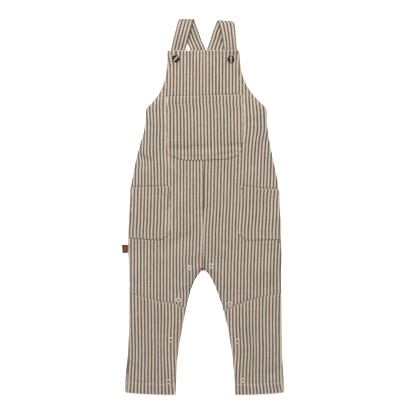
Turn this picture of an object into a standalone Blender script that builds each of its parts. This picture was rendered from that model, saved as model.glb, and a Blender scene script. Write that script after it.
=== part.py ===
"""Striped cotton dungarees for a small child, fastened and laid flat with the front up.

Every piece that is cut and sewn on is one object. The two halves of the back lie flat on the
surface. The front lies over them, a little raised by air and folds, and comes down to the back
at the side seams, the inseams and the hems. The straps run from the buttons over the shoulder
folds and cross under the bib, the pockets are copies of the front's own surface, moved out.

X runs across, Y up towards the straps, Z away from the surface. The origin is under the
middle of the laid-out garment, on the surface. Tables and sizes are in millimetres.
"""

import math
from bisect import bisect_right
from collections import namedtuple
from functools import partial

import bmesh
import bpy
from mathutils import Matrix, Vector
from mathutils.bvhtree import BVHTree

MM = 0.001

# ------------------------------------------------------------------ driving dimensions

CLOTH = 1.2                 # one layer of the heavy striped cotton
GAP = 0.3                   # between pieces that are sewn together or rest on each other
MEETS_BACK = CLOTH + GAP    # underside of the front where it is sewn to the back
EDGE_ROLL = 17.0            # how far from a sewn edge the front reaches its full height
FREE_ROLL = 12.0            # the same at the bib's free edges and at the hems

BIB_TOP = 281.7
CROTCH = -114.6
KNEE = -156.2               # outer end of the knee seams
HEM = -335.0                # outer end of the hems
HEM_DIP = 3.9               # how much lower the hems are at the inseams
SEAM_X = -0.2               # centre front and centre back seams
UNDERARM = 177.6
BACK_RISE = 4.0             # how much higher the back's top edge is at the middle

PLACKET_WIDTH = 25.0        # snap placket along each inseam
HEM_DEPTH = 19.0
POCKET_HEM = 15.0
POCKET_HEM_RISE = 0.5       # the hem is turned in twice, so it is thicker
HEM_STEP = 2.0
SEAM_DIP = 0.5              # how deep a seam or a line of stitching sits in the cloth
SEAM_SPREAD = 2.5           # half width of such a dip
SEAM_TOP = 80.0             # the centre front seam shows from here down, below the chest pocket
PLACKET_RISE = 0.35
EDGE_KEEPS = 0.35           # share of its height that the front keeps at the bib's top edge
HEM_KEEPS = 0.85            # the same at the leg hems
BIB_LIFTS = 188.6           # from here up the bib comes down off the back
BIB_EASE = 16.0             # over this height

STRAP_THICK = 2.0           # two layers, turned and pressed flat
STRAP_CLEAR = 9.0           # the bib stays level this far beside a strap under it
STRAP_EASE = 22.0           # and comes down over this much more
RAMP_EASE = 0.15            # and is a little higher over it, for the slopes of the strap
SETTLING = 0.15             # softness of the line where the bib comes to rest on a strap, in mm2

BUTTON_RADIUS = 6.6
BUTTON_HEIGHT = 2.4
FISH_EYE = (6.2, 1.6, 0.9)      # half length, half width and depth of the groove in a button
SNAP_RADIUS = 4.5
SNAP_HOLE = 2.5
SNAP_HEIGHT = 0.9
TAB_THICK = 2.2
TAB_FLOOR = 0.2             # its underside, held up by the seam

# Outline of the laid-out garment from the bib's top edge to the hems: the level, and where the
# left and the right outer edge are.
Outline = namedtuple("Outline", "y left right")
OUTER = [
    Outline(281.7, -65.6, 64.4),
    Outline(273.9, -65.9, 65.0),
    Outline(259.5, -65.9, 66.3),
    Outline(245.1, -67.4, 68.6),
    Outline(230.7, -69.8, 73.0),
    Outline(216.3, -74.6, 79.8),
    Outline(201.9, -82.2, 89.9),
    Outline(187.5, -93.5, 103.5),
    Outline(177.6, -103.0, 112.8),
    Outline(171.3, -104.4, 113.8),
    Outline(155.1, -105.0, 114.2),
    Outline(133.5, -108.4, 116.4),
    Outline(111.9, -115.0, 120.0),
    Outline(90.3, -120.6, 124.4),
    Outline(68.7, -125.4, 129.0),
    Outline(47.1, -129.4, 133.4),
    Outline(29.1, -132.0, 135.6),
    Outline(-1.5, -134.0, 137.8),
    Outline(-50.1, -136.0, 139.7),
    Outline(-87.9, -135.6, 140.4),
    Outline(-129.3, -134.2, 139.8),
    Outline(-168.9, -134.4, 140.5),
    Outline(-212.1, -134.8, 140.8),
    Outline(-255.3, -136.3, 141.3),
    Outline(-287.7, -139.2, 143.0),
    Outline(-327.3, -142.8, 146.0),
    Outline(-339.0, -141.0, 144.4),
]

# The inner edges of the legs: the depth below the crotch, and the left and the right leg's edge.
Inseam = namedtuple("Inseam", "depth left right")
INNER = [
    Inseam(0.0, -0.3, 0.1),
    Inseam(2.1, -4.9, 5.3),
    Inseam(5.7, -8.0, 8.1),
    Inseam(11.1, -12.0, 11.8),
    Inseam(20.1, -16.9, 16.7),
    Inseam(32.7, -21.9, 22.3),
    Inseam(47.1, -26.2, 27.6),
    Inseam(65.1, -30.7, 33.4),
    Inseam(86.7, -35.1, 39.3),
    Inseam(108.3, -39.3, 44.2),
    Inseam(129.9, -43.2, 47.9),
    Inseam(162.3, -47.4, 52.5),
    Inseam(194.7, -49.2, 55.0),
    Inseam(225.0, -50.6, 56.8),
]

# How far the edge of the front stands back from the outline, where a strip of the back shows.
Inset = namedtuple("Inset", "y outer_left outer_right inner_left inner_right")
FRONT_INSET = [
    Inset(-114.6, 0.0, 0.0, 0.0, 0.0),
    Inset(-122.0, 0.0, 0.0, 1.8, 0.4),
    Inset(-150.0, 0.0, 0.0, 2.4, 0.6),
    Inset(-172.0, 0.0, 0.0, 0.3, 0.3),
    Inset(-255.0, 0.2, 0.0, 0.0, 0.0),
    Inset(-290.0, 2.2, 1.2, 0.0, 0.0),
    Inset(-325.0, 3.0, 3.4, 0.0, 0.0),
    Inset(-339.0, 2.4, 3.0, 0.0, 0.0),
]

# The knee seams drop from the side seam (0) to the inseam (1).
Knee = namedtuple("Knee", "across left right")
KNEE_DROP = [
    Knee(0.0, 0.0, 0.0),
    Knee(0.22, 5.2, 3.9),
    Knee(0.48, 12.9, 10.8),
    Knee(0.76, 17.8, 21.0),
    Knee(1.0, 27.0, 30.5),
]

# How far the front is raised by what is between the layers.
Loft = namedtuple("Loft", "y rise")
LOFT = [
    Loft(281.7, 1.8),
    Loft(262.0, 3.0),
    Loft(230.0, 3.4),
    Loft(190.0, 3.3),
    Loft(100.0, 3.2),
    Loft(0.0, 3.3),
    Loft(-110.0, 3.2),
    Loft(-200.0, 3.2),
    Loft(-300.0, 2.8),
    Loft(-340.0, 2.2),
]

# The largest folds of the front: middle, direction in degrees from X, length, half width, and
# rise (a trough is negative).
Fold = namedtuple("Fold", "x y angle length width rise")
FOLDS = [
    Fold(3.0, 108.0, 2.0, 128.0, 6.5, -0.9),
    Fold(0.0, 95.0, 1.0, 110.0, 6.0, 0.4),
    Fold(-107.0, 89.0, -37.0, 34.0, 5.5, -1.3),
    Fold(-66.0, 74.0, -44.0, 44.0, 8.0, 0.7),
    Fold(-98.0, 146.0, -22.0, 26.0, 5.5, -1.1),
    Fold(95.0, 156.0, 12.0, 34.0, 6.0, -0.9),
    Fold(109.0, 116.0, 34.0, 32.0, 6.0, -1.0),
    Fold(-44.0, -60.0, 28.0, 66.0, 8.0, -0.9),
    Fold(46.0, -70.0, -24.0, 58.0, 8.5, -0.7),
    Fold(2.0, -98.0, 90.0, 34.0, 7.0, -0.9),
    Fold(-38.0, -154.0, 12.0, 34.0, 6.0, -0.9),
    Fold(118.0, -140.0, 20.0, 46.0, 7.5, -1.0),
    Fold(-80.0, -246.0, 87.0, 140.0, 6.0, -1.0),
    Fold(90.0, -262.0, -83.0, 130.0, 6.0, -1.1),
    Fold(-113.0, -214.0, -58.0, 42.0, 7.0, -0.7),
    Fold(124.0, -296.0, 32.0, 34.0, 7.0, -0.8),
    Fold(2.0, 258.0, 88.0, 40.0, 10.0, 0.5),
    Fold(56.0, 222.0, 28.0, 46.0, 8.0, -0.5),
]

# Each leg of a strap, from one end to the other: its level, its middle, the height of its
# underside, and half its width along the shoulder fold. The front leg ends under the bib at its
# button and stands a little off the back leg up to the shoulder fold. The back leg runs on under
# the bib and ends on the back's top edge, the right one over the left one where they cross.
Strap = namedtuple("Strap", "y x lift reach")
ON_STRAP = STRAP_THICK + GAP
FRONT_LEGS = {
    "left": [
        Strap(256.9, -52.4, 0.0, 13.0),
        Strap(266.7, -50.6, 0.0, 13.0),
        Strap(277.8, -48.1, 0.0, 13.2),
        Strap(286.0, -45.6, 0.0, 13.3),
        Strap(295.5, -43.1, ON_STRAP + 0.5, 13.4),
        Strap(315.0, -38.0, ON_STRAP + 1.9, 13.6),
        Strap(330.0, -33.8, ON_STRAP + 1.1, 13.7),
        Strap(336.5, -31.9, ON_STRAP + 0.6, 13.7),
    ],
    "right": [
        Strap(255.1, 50.4, 0.0, 12.2),
        Strap(265.5, 49.3, 0.0, 12.2),
        Strap(272.0, 48.7, 0.0, 12.2),
        Strap(283.0, 47.7, ON_STRAP + 0.5, 12.2),
        Strap(306.0, 45.2, ON_STRAP + 1.9, 12.7),
        Strap(324.0, 42.6, ON_STRAP + 1.1, 14.0),
        Strap(331.0, 41.5, ON_STRAP + 0.6, 14.4),
    ],
}
BACK_LEGS = {
    "left": [
        Strap(336.5, -30.3, 0.0, 13.9),
        Strap(330.0, -28.1, 0.0, 13.9),
        Strap(315.0, -22.8, 0.0, 13.8),
        Strap(300.9, -17.6, 0.0, 13.7),
        Strap(286.5, -11.7, 0.0, 14.0),
        Strap(252.0, -0.7, 0.0, 13.2),
        Strap(222.0, 9.0, 0.0, 13.2),
        Strap(191.0, 19.0, 0.0, 13.2),
        Strap(184.0, 21.3, MEETS_BACK, 13.2),
        Strap(168.0, 26.4, MEETS_BACK, 13.2),
    ],
    "right": [
        Strap(331.0, 36.7, 0.0, 14.2),
        Strap(324.0, 34.4, 0.0, 14.1),
        Strap(315.3, 30.5, 0.0, 14.0),
        Strap(300.9, 26.2, 0.0, 14.0),
        Strap(285.5, 21.0, 0.0, 14.2),
        Strap(280.5, 19.4, ON_STRAP, 14.0),
        Strap(250.0, 10.4, ON_STRAP, 13.2),
        Strap(218.0, 0.9, ON_STRAP, 13.2),
        Strap(191.0, -7.2, ON_STRAP, 13.2),
        Strap(184.0, -9.2, MEETS_BACK, 13.2),
        Strap(168.0, -14.4, MEETS_BACK, 13.2),
    ],
}
# The shoulder folds: the level of each fold's edge, and its slope across the strap.
ShoulderFold = namedtuple("ShoulderFold", "y slope")
SHOULDER_FOLDS = {"left": ShoulderFold(339.0, 0.0), "right": ShoulderFold(335.8, -0.07)}
FOLD_STEPS = 6
STRAP_STEP = 6.5            # length of strap between two of its sections
STRAP_ROUNDING = 0.93       # where the strap's edge starts to round, as a share of half its width

# Pocket outlines, clockwise from the outer or left top corner. The side pockets run on to the
# side seam, so their outer corners stand beyond it.
CHEST_POCKET = [
    (-68.6, 197.6), (2.5, 199.8), (69.7, 201.6), (69.7, 111.0), (67.2, 103.6), (63.8, 96.8),
    (58.6, 91.6), (49.0, 87.4), (40.3, 85.6), (2.5, 84.2), (-31.7, 83.6), (-46.1, 86.2),
    (-57.0, 91.8), (-64.2, 99.2), (-67.6, 118.0),
]
SIDE_POCKETS = {
    "left": [
        (-150.0, 32.6), (-61.0, 37.0), (-60.6, -43.0), (-62.8, -49.0), (-68.8, -54.4),
        (-77.0, -59.6), (-150.0, -54.8),
    ],
    "right": [
        (65.6, 36.6), (150.0, 28.1), (150.0, -58.6), (76.3, -60.0), (68.0, -54.4), (60.8, -45.8),
    ],
}
POCKET_FLARE = 1.6          # the side pockets' top corners stand out of the side seam

# The buttons and the direction of their fish eyes, and the snaps down the two plackets.
Button = namedtuple("Button", "x y angle")
BUTTONS = {
    "left": Button(-49.9, 266.5, 45.0),
    "right": Button(49.1, 265.2, 90.0),
}
Snap = namedtuple("Snap", "panel x y")
SNAPS = {
    "left": [
        Snap("front_left", -25.4, -110.1),
        Snap("front_left", -45.4, -168.0),
        Snap("shin_left", -58.7, -239.7),
        Snap("shin_left", -63.4, -315.1),
    ],
    "right": [
        Snap("front_right", 13.5, -106.6),
        Snap("front_right", 47.3, -175.2),
        Snap("shin_right", 60.7, -242.2),
        Snap("shin_right", 70.6, -312.6),
    ],
}
# Corners of the folded tab, from its upper end at the side seam round to its lower one.
TAB_CORNERS = [(-136.4, -68.6), (-147.4, -68.6), (-146.2, -83.6), (-136.4, -82.9)]

# ------------------------------------------------------------------ finishes

Finish = namedtuple("Finish", "name colour roughness metallic")
STRIPED_COTTON = Finish("striped cotton", (0.37, 0.31, 0.25), 0.9, 0.0)
DARK_BUTTON = Finish("dark horn button", (0.022, 0.016, 0.012), 0.35, 0.0)
CREAM_ENAMEL = Finish("cream enamelled snap", (0.68, 0.62, 0.52), 0.35, 0.0)
TAB_LEATHER = Finish("russet leather", (0.19, 0.055, 0.022), 0.6, 0.0)


def use_finish(shape, finish):
    material = bpy.data.materials.get(finish.name)
    if material is None:
        material = bpy.data.materials.new(finish.name)
        material.use_nodes = True
        shader = material.node_tree.nodes["Principled BSDF"]
        shader.inputs["Base Color"].default_value = (*finish.colour, 1.0)
        shader.inputs["Roughness"].default_value = finish.roughness
        shader.inputs["Metallic"].default_value = finish.metallic
    shape.data.materials.append(material)


def new_object(name, mesh, finish):
    """An object from a finished bmesh, with its faces pointing out."""
    bmesh.ops.recalc_face_normals(mesh, faces=mesh.faces[:])
    data = bpy.data.meshes.new(name)
    mesh.to_mesh(data)
    mesh.free()
    shape = bpy.data.objects.new(name, data)
    bpy.context.scene.collection.objects.link(shape)
    use_finish(shape, finish)
    return shape


# ------------------------------------------------------------------ reading the tables

def ease(t):
    """0 to 1 with a soft start and end."""
    t = min(max(t, 0.0), 1.0)
    return t * t * (3.0 - 2.0 * t)


def rise(distance, reach):
    """0 at an edge, 1 from reach on, steepest at the edge like cloth that rolls over it."""
    t = min(max(distance / reach, 0.0), 1.0)
    return 1.0 - (1.0 - t) ** 2


def read(table, column, at):
    """A column of a table between its rows, on a curve that never overshoots them."""
    rows = sorted(table, key=lambda row: row[0])
    keys = [row[0] for row in rows]
    values = [getattr(row, column) for row in rows]
    if at <= keys[0]:
        return values[0]
    if at >= keys[-1]:
        return values[-1]
    slopes = [(values[i + 1] - values[i]) / (keys[i + 1] - keys[i]) for i in range(len(keys) - 1)]

    def tangent(i):
        if i in (0, len(keys) - 1):
            return slopes[max(i - 1, 0)]
        before, after = slopes[i - 1], slopes[i]
        return 0.0 if before * after <= 0.0 else 2.0 * before * after / (before + after)

    i = bisect_right(keys, at) - 1
    step = keys[i + 1] - keys[i]
    t = (at - keys[i]) / step
    t2, t3 = t * t, t * t * t
    return (
        values[i] * (2 * t3 - 3 * t2 + 1)
        + values[i + 1] * (3 * t2 - 2 * t3)
        + step * tangent(i) * (t3 - 2 * t2 + t)
        + step * tangent(i + 1) * (t3 - t2)
    )


def inner_edge(side, y, seam_gap):
    """Inner edge of one half: the centre seam above the crotch, the inseam below it."""
    toward = -1.0 if side == "left" else 1.0
    centre = SEAM_X + toward * seam_gap / 2
    depth = CROTCH - y
    if depth <= 0.0:
        return centre
    # Between rows the arch is read by the root of the depth, which makes its top round.
    rooted = [Inseam(math.sqrt(row.depth), row.left, row.right) for row in INNER]
    edge = read(rooted, side, math.sqrt(depth))
    return min(edge, centre) if side == "left" else max(edge, centre)


def edges(side, y, layer, seam_gap=GAP):
    """Outer and inner edge of one half of the back or the front at a level."""
    outer = read(OUTER, side, y)
    inner = inner_edge(side, y, seam_gap)
    if layer == "front" and y < CROTCH:
        inward = 1.0 if side == "left" else -1.0
        outer += inward * read(FRONT_INSET, "outer_" + side, y)
        inner -= inward * read(FRONT_INSET, "inner_" + side, y)
    return outer, inner


def knee_level(side, across):
    return KNEE - read(KNEE_DROP, side, across)


def hem_level(across):
    return HEM - HEM_DIP * (1.0 - (1.0 - across) ** 2)


# ------------------------------------------------------------------ height of the front

def strap_support(x, y):
    """Height that the straps under the bib hold its underside up to, 0 away from them."""
    best = 0.0
    for leg in (*FRONT_LEGS.values(), *BACK_LEGS.values()):
        low, high = sorted((leg[0].y, leg[-1].y))
        beside = max(abs(x - read(leg, "x", y)) - read(leg, "reach", y), 0.0)
        beyond = max(low - y, y - high, 0.0)
        away = math.hypot(beside, beyond) - STRAP_CLEAR
        top = read(leg, "lift", y) + STRAP_THICK + GAP + RAMP_EASE
        best = max(best, top * (1.0 - ease(away / STRAP_EASE)))
    return best


def fold_rise(x, y):
    total = 0.0
    for fold in FOLDS:
        angle = math.radians(fold.angle)
        dx, dy = x - fold.x, y - fold.y
        along = dx * math.cos(angle) + dy * math.sin(angle)
        aside = dy * math.cos(angle) - dx * math.sin(angle)
        ends = math.exp(-(2.0 * along / fold.length) ** 4)
        total += fold.rise * ends * math.exp(-(aside / fold.width) ** 2)
    return total


def front_low(side, x, y):
    """Underside of the front cloth above the surface."""
    outer, inner = edges(side, y, "front")
    seam_side = math.hypot(x - SEAM_X, y - CROTCH) if y > CROTCH else abs(x - inner)
    height = rise(abs(x - outer), EDGE_ROLL) * rise(seam_side, EDGE_ROLL)
    height *= EDGE_KEEPS + (1.0 - EDGE_KEEPS) * rise(BIB_TOP - y, FREE_ROLL)
    height *= HEM_KEEPS + (1.0 - HEM_KEEPS) * rise(y - HEM + HEM_DIP, FREE_ROLL)
    shape = read(LOFT, "rise", y) + fold_rise(x, y) - seam_dips(side, x, y, outer, inner)
    if y < CROTCH + 2 * SEAM_SPREAD:
        placket = 1.0 - ease((seam_side - PLACKET_WIDTH) / SEAM_SPREAD + 0.5)
        shape += PLACKET_RISE * placket
    lying = 1.0 - ease((y - BIB_LIFTS) / BIB_EASE)
    loose = MEETS_BACK * lying + height * shape
    held = strap_support(x, y)
    return (loose + held + math.sqrt((loose - held) ** 2 + SETTLING)) / 2


def seam_dips(side, x, y, outer, inner):
    """How much the cloth is drawn down at the centre seam, the knee seams and the hem stitching."""
    def dip(distance):
        return SEAM_DIP * math.exp(-(distance / SEAM_SPREAD) ** 2)

    if y > CROTCH:
        return dip(x - SEAM_X) * ease((SEAM_TOP - y) / SEAM_SPREAD)
    across = (x - outer) / (inner - outer)
    return dip(y - knee_level(side, across)) + dip(y - hem_level(across) - HEM_DEPTH)


# ------------------------------------------------------------------ cloth panels

Spacing = namedtuple("Spacing", "bands middle")
FRONT_COLUMNS = Spacing((0.0, 2.5, 7.0, 13.0), 7)
BACK_COLUMNS = Spacing((0.0, 4.0), 5)
SHIN_ROWS = 20
BACK_EASE = 45.0            # the back's rows follow its top edge over this height


def shares(width, spacing):
    """Column places from the outer (0) to the inner edge (1), close together at both."""
    near = list(spacing.bands)
    room = width - 2 * near[-1]
    middle = [near[-1] + room * k / spacing.middle for k in range(1, spacing.middle)]
    far = [width - band for band in reversed(near)]
    return [place / width for place in near + middle + far]


def levels(start, stop, step, first=()):
    """Row levels from start down to stop, evenly spaced after the first few distances."""
    rows = [start - distance for distance in first] or [start]
    count = max(round((rows[-1] - stop) / step), 1)
    begin = rows[-1]
    return rows + [begin + (stop - begin) * k / count for k in range(1, count + 1)]


def panel_points(side, layer, rows, warp, spacing, seam_gap=GAP):
    """Rows of points in the plane. Warp gives a row's level at a share of the way across."""
    points = []
    for row in rows:
        outer, inner = edges(side, warp(row, 0.5), layer, seam_gap)
        line = []
        for share in shares(abs(inner - outer), spacing):
            y = warp(row, share)
            outer, inner = edges(side, y, layer, seam_gap)
            line.append((outer + share * (inner - outer), y))
        points.append(line)
    return points


def skin_through(points, height):
    """A one-sided sheet: a grid primitive laid through rows of points at their heights."""
    columns, rows = len(points[0]) - 1, len(points) - 1
    skin = bmesh.new()
    bmesh.ops.create_grid(skin, x_segments=columns, y_segments=rows, size=0.5)
    for vert in skin.verts:
        column = round((vert.co.x + 0.5) * columns)
        row = round((0.5 - vert.co.y) * rows)
        x, y = points[row][column]
        vert.co = Vector((x, y, height(x, y))) * MM
    # Flat facets, parted by the shorter diagonal, so that two skins on the same points agree.
    bmesh.ops.triangulate(skin, faces=skin.faces[:], quad_method="SHORT_EDGE")
    return skin


def thicken(skin, thickness):
    """Extrude a one-sided sheet upward into a closed wall of a thickness given by place."""
    made = bmesh.ops.extrude_face_region(skin, geom=skin.faces[:])
    for item in made["geom"]:
        if isinstance(item, bmesh.types.BMVert):
            item.co.z += thickness(item.co.x / MM, item.co.y / MM) * MM
    return skin


def one_layer(x, y):
    return CLOTH


def front_points(side, seam_gap=GAP):
    """The front panel, from the bib's top edge to the knee seam."""
    trunk = levels(BIB_TOP, CROTCH, 8.6, first=(0.0, 2.5, 6.5))
    thigh = levels(CROTCH, KNEE + GAP / 2, 7.5, first=(2.0, 5.5, 11.0))
    reach = CROTCH - thigh[-1]

    def warp(level, share):
        drawn = max((CROTCH - level) / reach, 0.0) ** 1.5
        return level - drawn * read(KNEE_DROP, side, share)

    return panel_points(side, "front", trunk + thigh, warp, FRONT_COLUMNS, seam_gap)


def shin_points(side):
    """The lower leg, its rows given as shares of the way from the hem to the knee seam."""
    def warp(row, share):
        top = knee_level(side, share) - GAP / 2
        return hem_level(share) + row * (top - hem_level(share))

    return panel_points(side, "front", levels(1.0, 0.0, 1.0 / SHIN_ROWS), warp, FRONT_COLUMNS)


def back_points(side):
    """One half of the back with its leg, from the top edge to the hem."""
    trunk = levels(UNDERARM, CROTCH, 15.0)
    leg = levels(CROTCH, HEM, 14.0, first=(2.0, 5.5, 11.0))

    def warp(level, share):
        raised = BACK_RISE * ease((level - UNDERARM) / BACK_EASE + 1.0)
        dipped = max((CROTCH - level) / (CROTCH - HEM), 0.0) ** 2
        return level + raised * math.sin(share * math.pi / 2) + dipped * (hem_level(share) - HEM)

    return panel_points(side, "back", trunk + leg, warp, BACK_COLUMNS)


def build_panels():
    """The four front and two back panels. Returns the front ones, for what is set on them."""
    fronts = {}
    for side in ("left", "right"):
        underside = partial(front_low, side)
        back = thicken(skin_through(back_points(side), on_surface), one_layer)
        new_object("back_" + side, back, STRIPED_COTTON)
        for name, points in (("front_", front_points(side)), ("shin_", shin_points(side))):
            panel = thicken(skin_through(points, underside), one_layer)
            fronts[name + side] = new_object(name + side, panel, STRIPED_COTTON)
    return fronts


def on_surface(x, y):
    return 0.0


# ------------------------------------------------------------------ pockets

def cut(skin, point, outward, clear):
    """Cut a sheet along an upright plane, and take away what lies beyond it if clear is set."""
    bmesh.ops.bisect_plane(
        skin, geom=skin.verts[:] + skin.edges[:] + skin.faces[:], dist=1e-6,
        plane_co=Vector((*point, 0.0)) * MM, plane_no=Vector((*outward, 0.0)), clear_outer=clear,
    )


def outward_of(start, end):
    """Unit vector out of an outline given clockwise, at one of its edges."""
    along = (Vector(end) - Vector(start)).normalized()
    return Vector((-along.y, along.x))


def build_pocket(name, skin, outline, side=None):
    """A patch: the front's surface moved out, cut to its outline, with a hem turned in."""
    bmesh.ops.translate(skin, verts=skin.verts[:], vec=(0.0, 0.0, (CLOTH + GAP) * MM))
    for start, end in zip(outline, outline[1:] + outline[:1]):
        cut(skin, start, outward_of(start, end), True)
    upward = outward_of(outline[0], outline[1])
    hem_line = Vector(outline[0]) - upward * POCKET_HEM
    for step in (0.0, HEM_STEP):
        cut(skin, hem_line + upward * step, upward, False)

    def with_hem(x, y):
        above = (Vector((x, y)) - hem_line).dot(upward)
        return CLOTH + POCKET_HEM_RISE * ease(above / HEM_STEP)

    thicken(skin, with_hem)
    if side:
        flare(skin, side, outline[0][1])
    return new_object(name, skin, STRIPED_COTTON)


def flare(skin, side, top):
    """Let a side pocket's top corner stand out of the side seam."""
    outward = -1.0 if side == "left" else 1.0
    for vert in skin.verts:
        x, y = vert.co.x / MM, vert.co.y / MM
        near = 1.0 - ease(abs(x - read(OUTER, side, y)) / 4.0)
        vert.co.x += outward * POCKET_FLARE * near * ease(1.0 - (top - y) / 34.0) * MM


def build_pockets():
    def on_either_half(x, y):
        return front_low("left" if x < SEAM_X else "right", x, y)

    whole = [
        left + right[-2::-1]
        for left, right in zip(front_points("left", 0.0), front_points("right", 0.0))
    ]
    build_pocket("chest_pocket", skin_through(whole, on_either_half), CHEST_POCKET)
    for side, outline in SIDE_POCKETS.items():
        skin = skin_through(front_points(side), partial(front_low, side))
        build_pocket("side_pocket_" + side, skin, outline, side)


# ------------------------------------------------------------------ straps

def strap_path(side):
    """Middle of a strap and half its width, from its end under the button to the back."""
    fold = SHOULDER_FOLDS[side]
    across = Vector((1.0, fold.slope)).normalized()
    upward = Vector((-across.y, across.x))
    front, back = FRONT_LEGS[side], BACK_LEGS[side]
    half = STRAP_THICK / 2
    path = leg_line(front)
    radius = (front[-1].lift - back[0].lift) / 2
    middle = Vector(((front[-1].x + back[0].x) / 2, fold.y - radius - half))
    height = back[0].lift + half + radius
    reach = (front[-1].reach + back[0].reach) / 2
    for k in range(FOLD_STEPS + 1):
        turn = math.pi / 2 - math.pi * k / FOLD_STEPS
        place = middle + upward * radius * math.cos(turn)
        path.append((Vector((*place, height + radius * math.sin(turn))), reach))
    return path + leg_line(back), Vector((*across, 0.0))


def leg_line(leg):
    """Points along the middle of a strap's leg and half its width there, from its table."""
    steps = round(abs(leg[-1].y - leg[0].y) / STRAP_STEP)
    points = []
    for k in range(steps + 1):
        y = leg[0].y + (leg[-1].y - leg[0].y) * k / steps
        middle = Vector((read(leg, "x", y), y, read(leg, "lift", y) + STRAP_THICK / 2))
        points.append((middle, read(leg, "reach", y)))
    return points


def strap_section(centre, along, across, reach):
    """Flat section with rounded edges, across the strap."""
    facing = across.cross(along).normalized() * (STRAP_THICK / 2)
    corners = [
        (-1.0, 0.0), (-STRAP_ROUNDING, 1.0), (STRAP_ROUNDING, 1.0),
        (1.0, 0.0), (STRAP_ROUNDING, -1.0), (-STRAP_ROUNDING, -1.0),
    ]
    return [(centre + across * reach * share + facing * up) * MM for share, up in corners]


def build_strap(side):
    path, across = strap_path(side)
    strap = bmesh.new()
    rings = []
    for k, (centre, reach) in enumerate(path):
        along = path[min(k + 1, len(path) - 1)][0] - path[max(k - 1, 0)][0]
        section = strap_section(centre, along, across, reach)
        rings.append([strap.verts.new(place) for place in section])
    for ring, following in zip(rings, rings[1:]):
        for k in range(len(ring)):
            after = (k + 1) % len(ring)
            strap.faces.new((ring[k], ring[after], following[after], following[k]))
    strap.faces.new(rings[0])
    strap.faces.new(rings[-1])
    new_object("strap_" + side, strap, STRIPED_COTTON)


# ------------------------------------------------------------------ buttons, snaps and tab

Seat = namedtuple("Seat", "place tilt")


def seat_on(panel, x, y, radius):
    """Where a small flat thing lies on a panel: just clear of it and square to its surface."""
    tree = BVHTree.FromObject(panel, bpy.context.evaluated_depsgraph_get())
    samples = []
    for ring in range(4):
        for k in range(16):
            turn = math.tau * k / 16
            away = Vector((math.cos(turn), math.sin(turn))) * radius * ring / 3
            above = Vector((x + away.x, y + away.y, 50.0)) * MM
            hit = tree.ray_cast(above, Vector((0.0, 0.0, -1.0)))[0]
            samples.append((away, hit.z / MM))
    middle = sum(z for _, z in samples) / len(samples)
    spread = sum(away.x ** 2 for away, _ in samples)
    slope_x = sum(away.x * z for away, z in samples) / spread
    slope_y = sum(away.y * z for away, z in samples) / spread
    proud = max(z - middle - slope_x * away.x - slope_y * away.y for away, z in samples)
    facing = Vector((-slope_x, -slope_y, 1.0)).normalized()
    tilt = Vector((0.0, 0.0, 1.0)).rotation_difference(facing)
    return Seat(Vector((x, y, middle + proud + GAP)) * MM, tilt)


def turned(profile, steps):
    """A round solid from a closed profile of (radius, height), turned about Z."""
    solid = bmesh.new()
    verts = [solid.verts.new((radius * MM, 0.0, height * MM)) for radius, height in profile]
    outline = [solid.edges.new((a, b)) for a, b in zip(verts, verts[1:] + verts[:1])]
    bmesh.ops.spin(
        solid, geom=verts + outline, axis=(0.0, 0.0, 1.0), cent=(0.0, 0.0, 0.0),
        angle=math.tau, steps=steps, use_merge=True,
    )
    bmesh.ops.remove_doubles(solid, verts=solid.verts[:], dist=1e-6)
    return solid


def put(shape, seat, angle=0.0):
    shape.rotation_mode = "QUATERNION"
    shape.rotation_quaternion = seat.tilt @ Matrix.Rotation(angle, 3, "Z").to_quaternion()
    shape.location = seat.place


def build_button(side, panel):
    button = BUTTONS[side]
    seat = seat_on(panel, button.x, button.y, BUTTON_RADIUS)
    r, h = BUTTON_RADIUS, BUTTON_HEIGHT
    profile = [
        (0.001, 0.0), (0.82 * r, 0.0), (0.95 * r, 0.2 * h), (r, 0.5 * h), (0.96 * r, 0.8 * h),
        (0.88 * r, 0.98 * h), (0.78 * r, h), (0.62 * r, 0.9 * h), (0.001, 0.84 * h),
    ]
    disc = new_object("button_" + side, turned(profile, 28), DARK_BUTTON)
    put(disc, seat)

    groove = bmesh.new()
    bmesh.ops.create_uvsphere(groove, u_segments=20, v_segments=10, radius=MM)
    half_length, half_width, depth = FISH_EYE
    bmesh.ops.scale(groove, verts=groove.verts[:], vec=(half_length, half_width, depth * 2))
    bmesh.ops.translate(groove, verts=groove.verts[:], vec=(0.0, 0.0, (0.84 * h + depth) * MM))
    cutter = new_object("fish_eye_cutter_" + side, groove, DARK_BUTTON)
    put(cutter, seat, math.radians(button.angle))
    cutter.hide_render = True
    cutter.display_type = "WIRE"
    carve = disc.modifiers.new("fish eye", "BOOLEAN")
    carve.operation = "DIFFERENCE"
    carve.object = cutter


def build_snaps(side, fronts):
    """Open rings down the placket, two on the front panel and two on the shin."""
    r, hole, h = SNAP_RADIUS, SNAP_HOLE, SNAP_HEIGHT
    profile = [
        (hole, 0.0), (r, 0.0), (r, 0.45 * h), (0.9 * r, h), (hole + 0.15 * r, h), (hole, 0.6 * h),
    ]
    for number, snap in enumerate(SNAPS[side], start=1):
        ring = new_object(f"snap_{side}_{number}", turned(profile, 16), CREAM_ENAMEL)
        put(ring, seat_on(fronts[snap.panel], snap.x, snap.y, SNAP_RADIUS))


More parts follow.
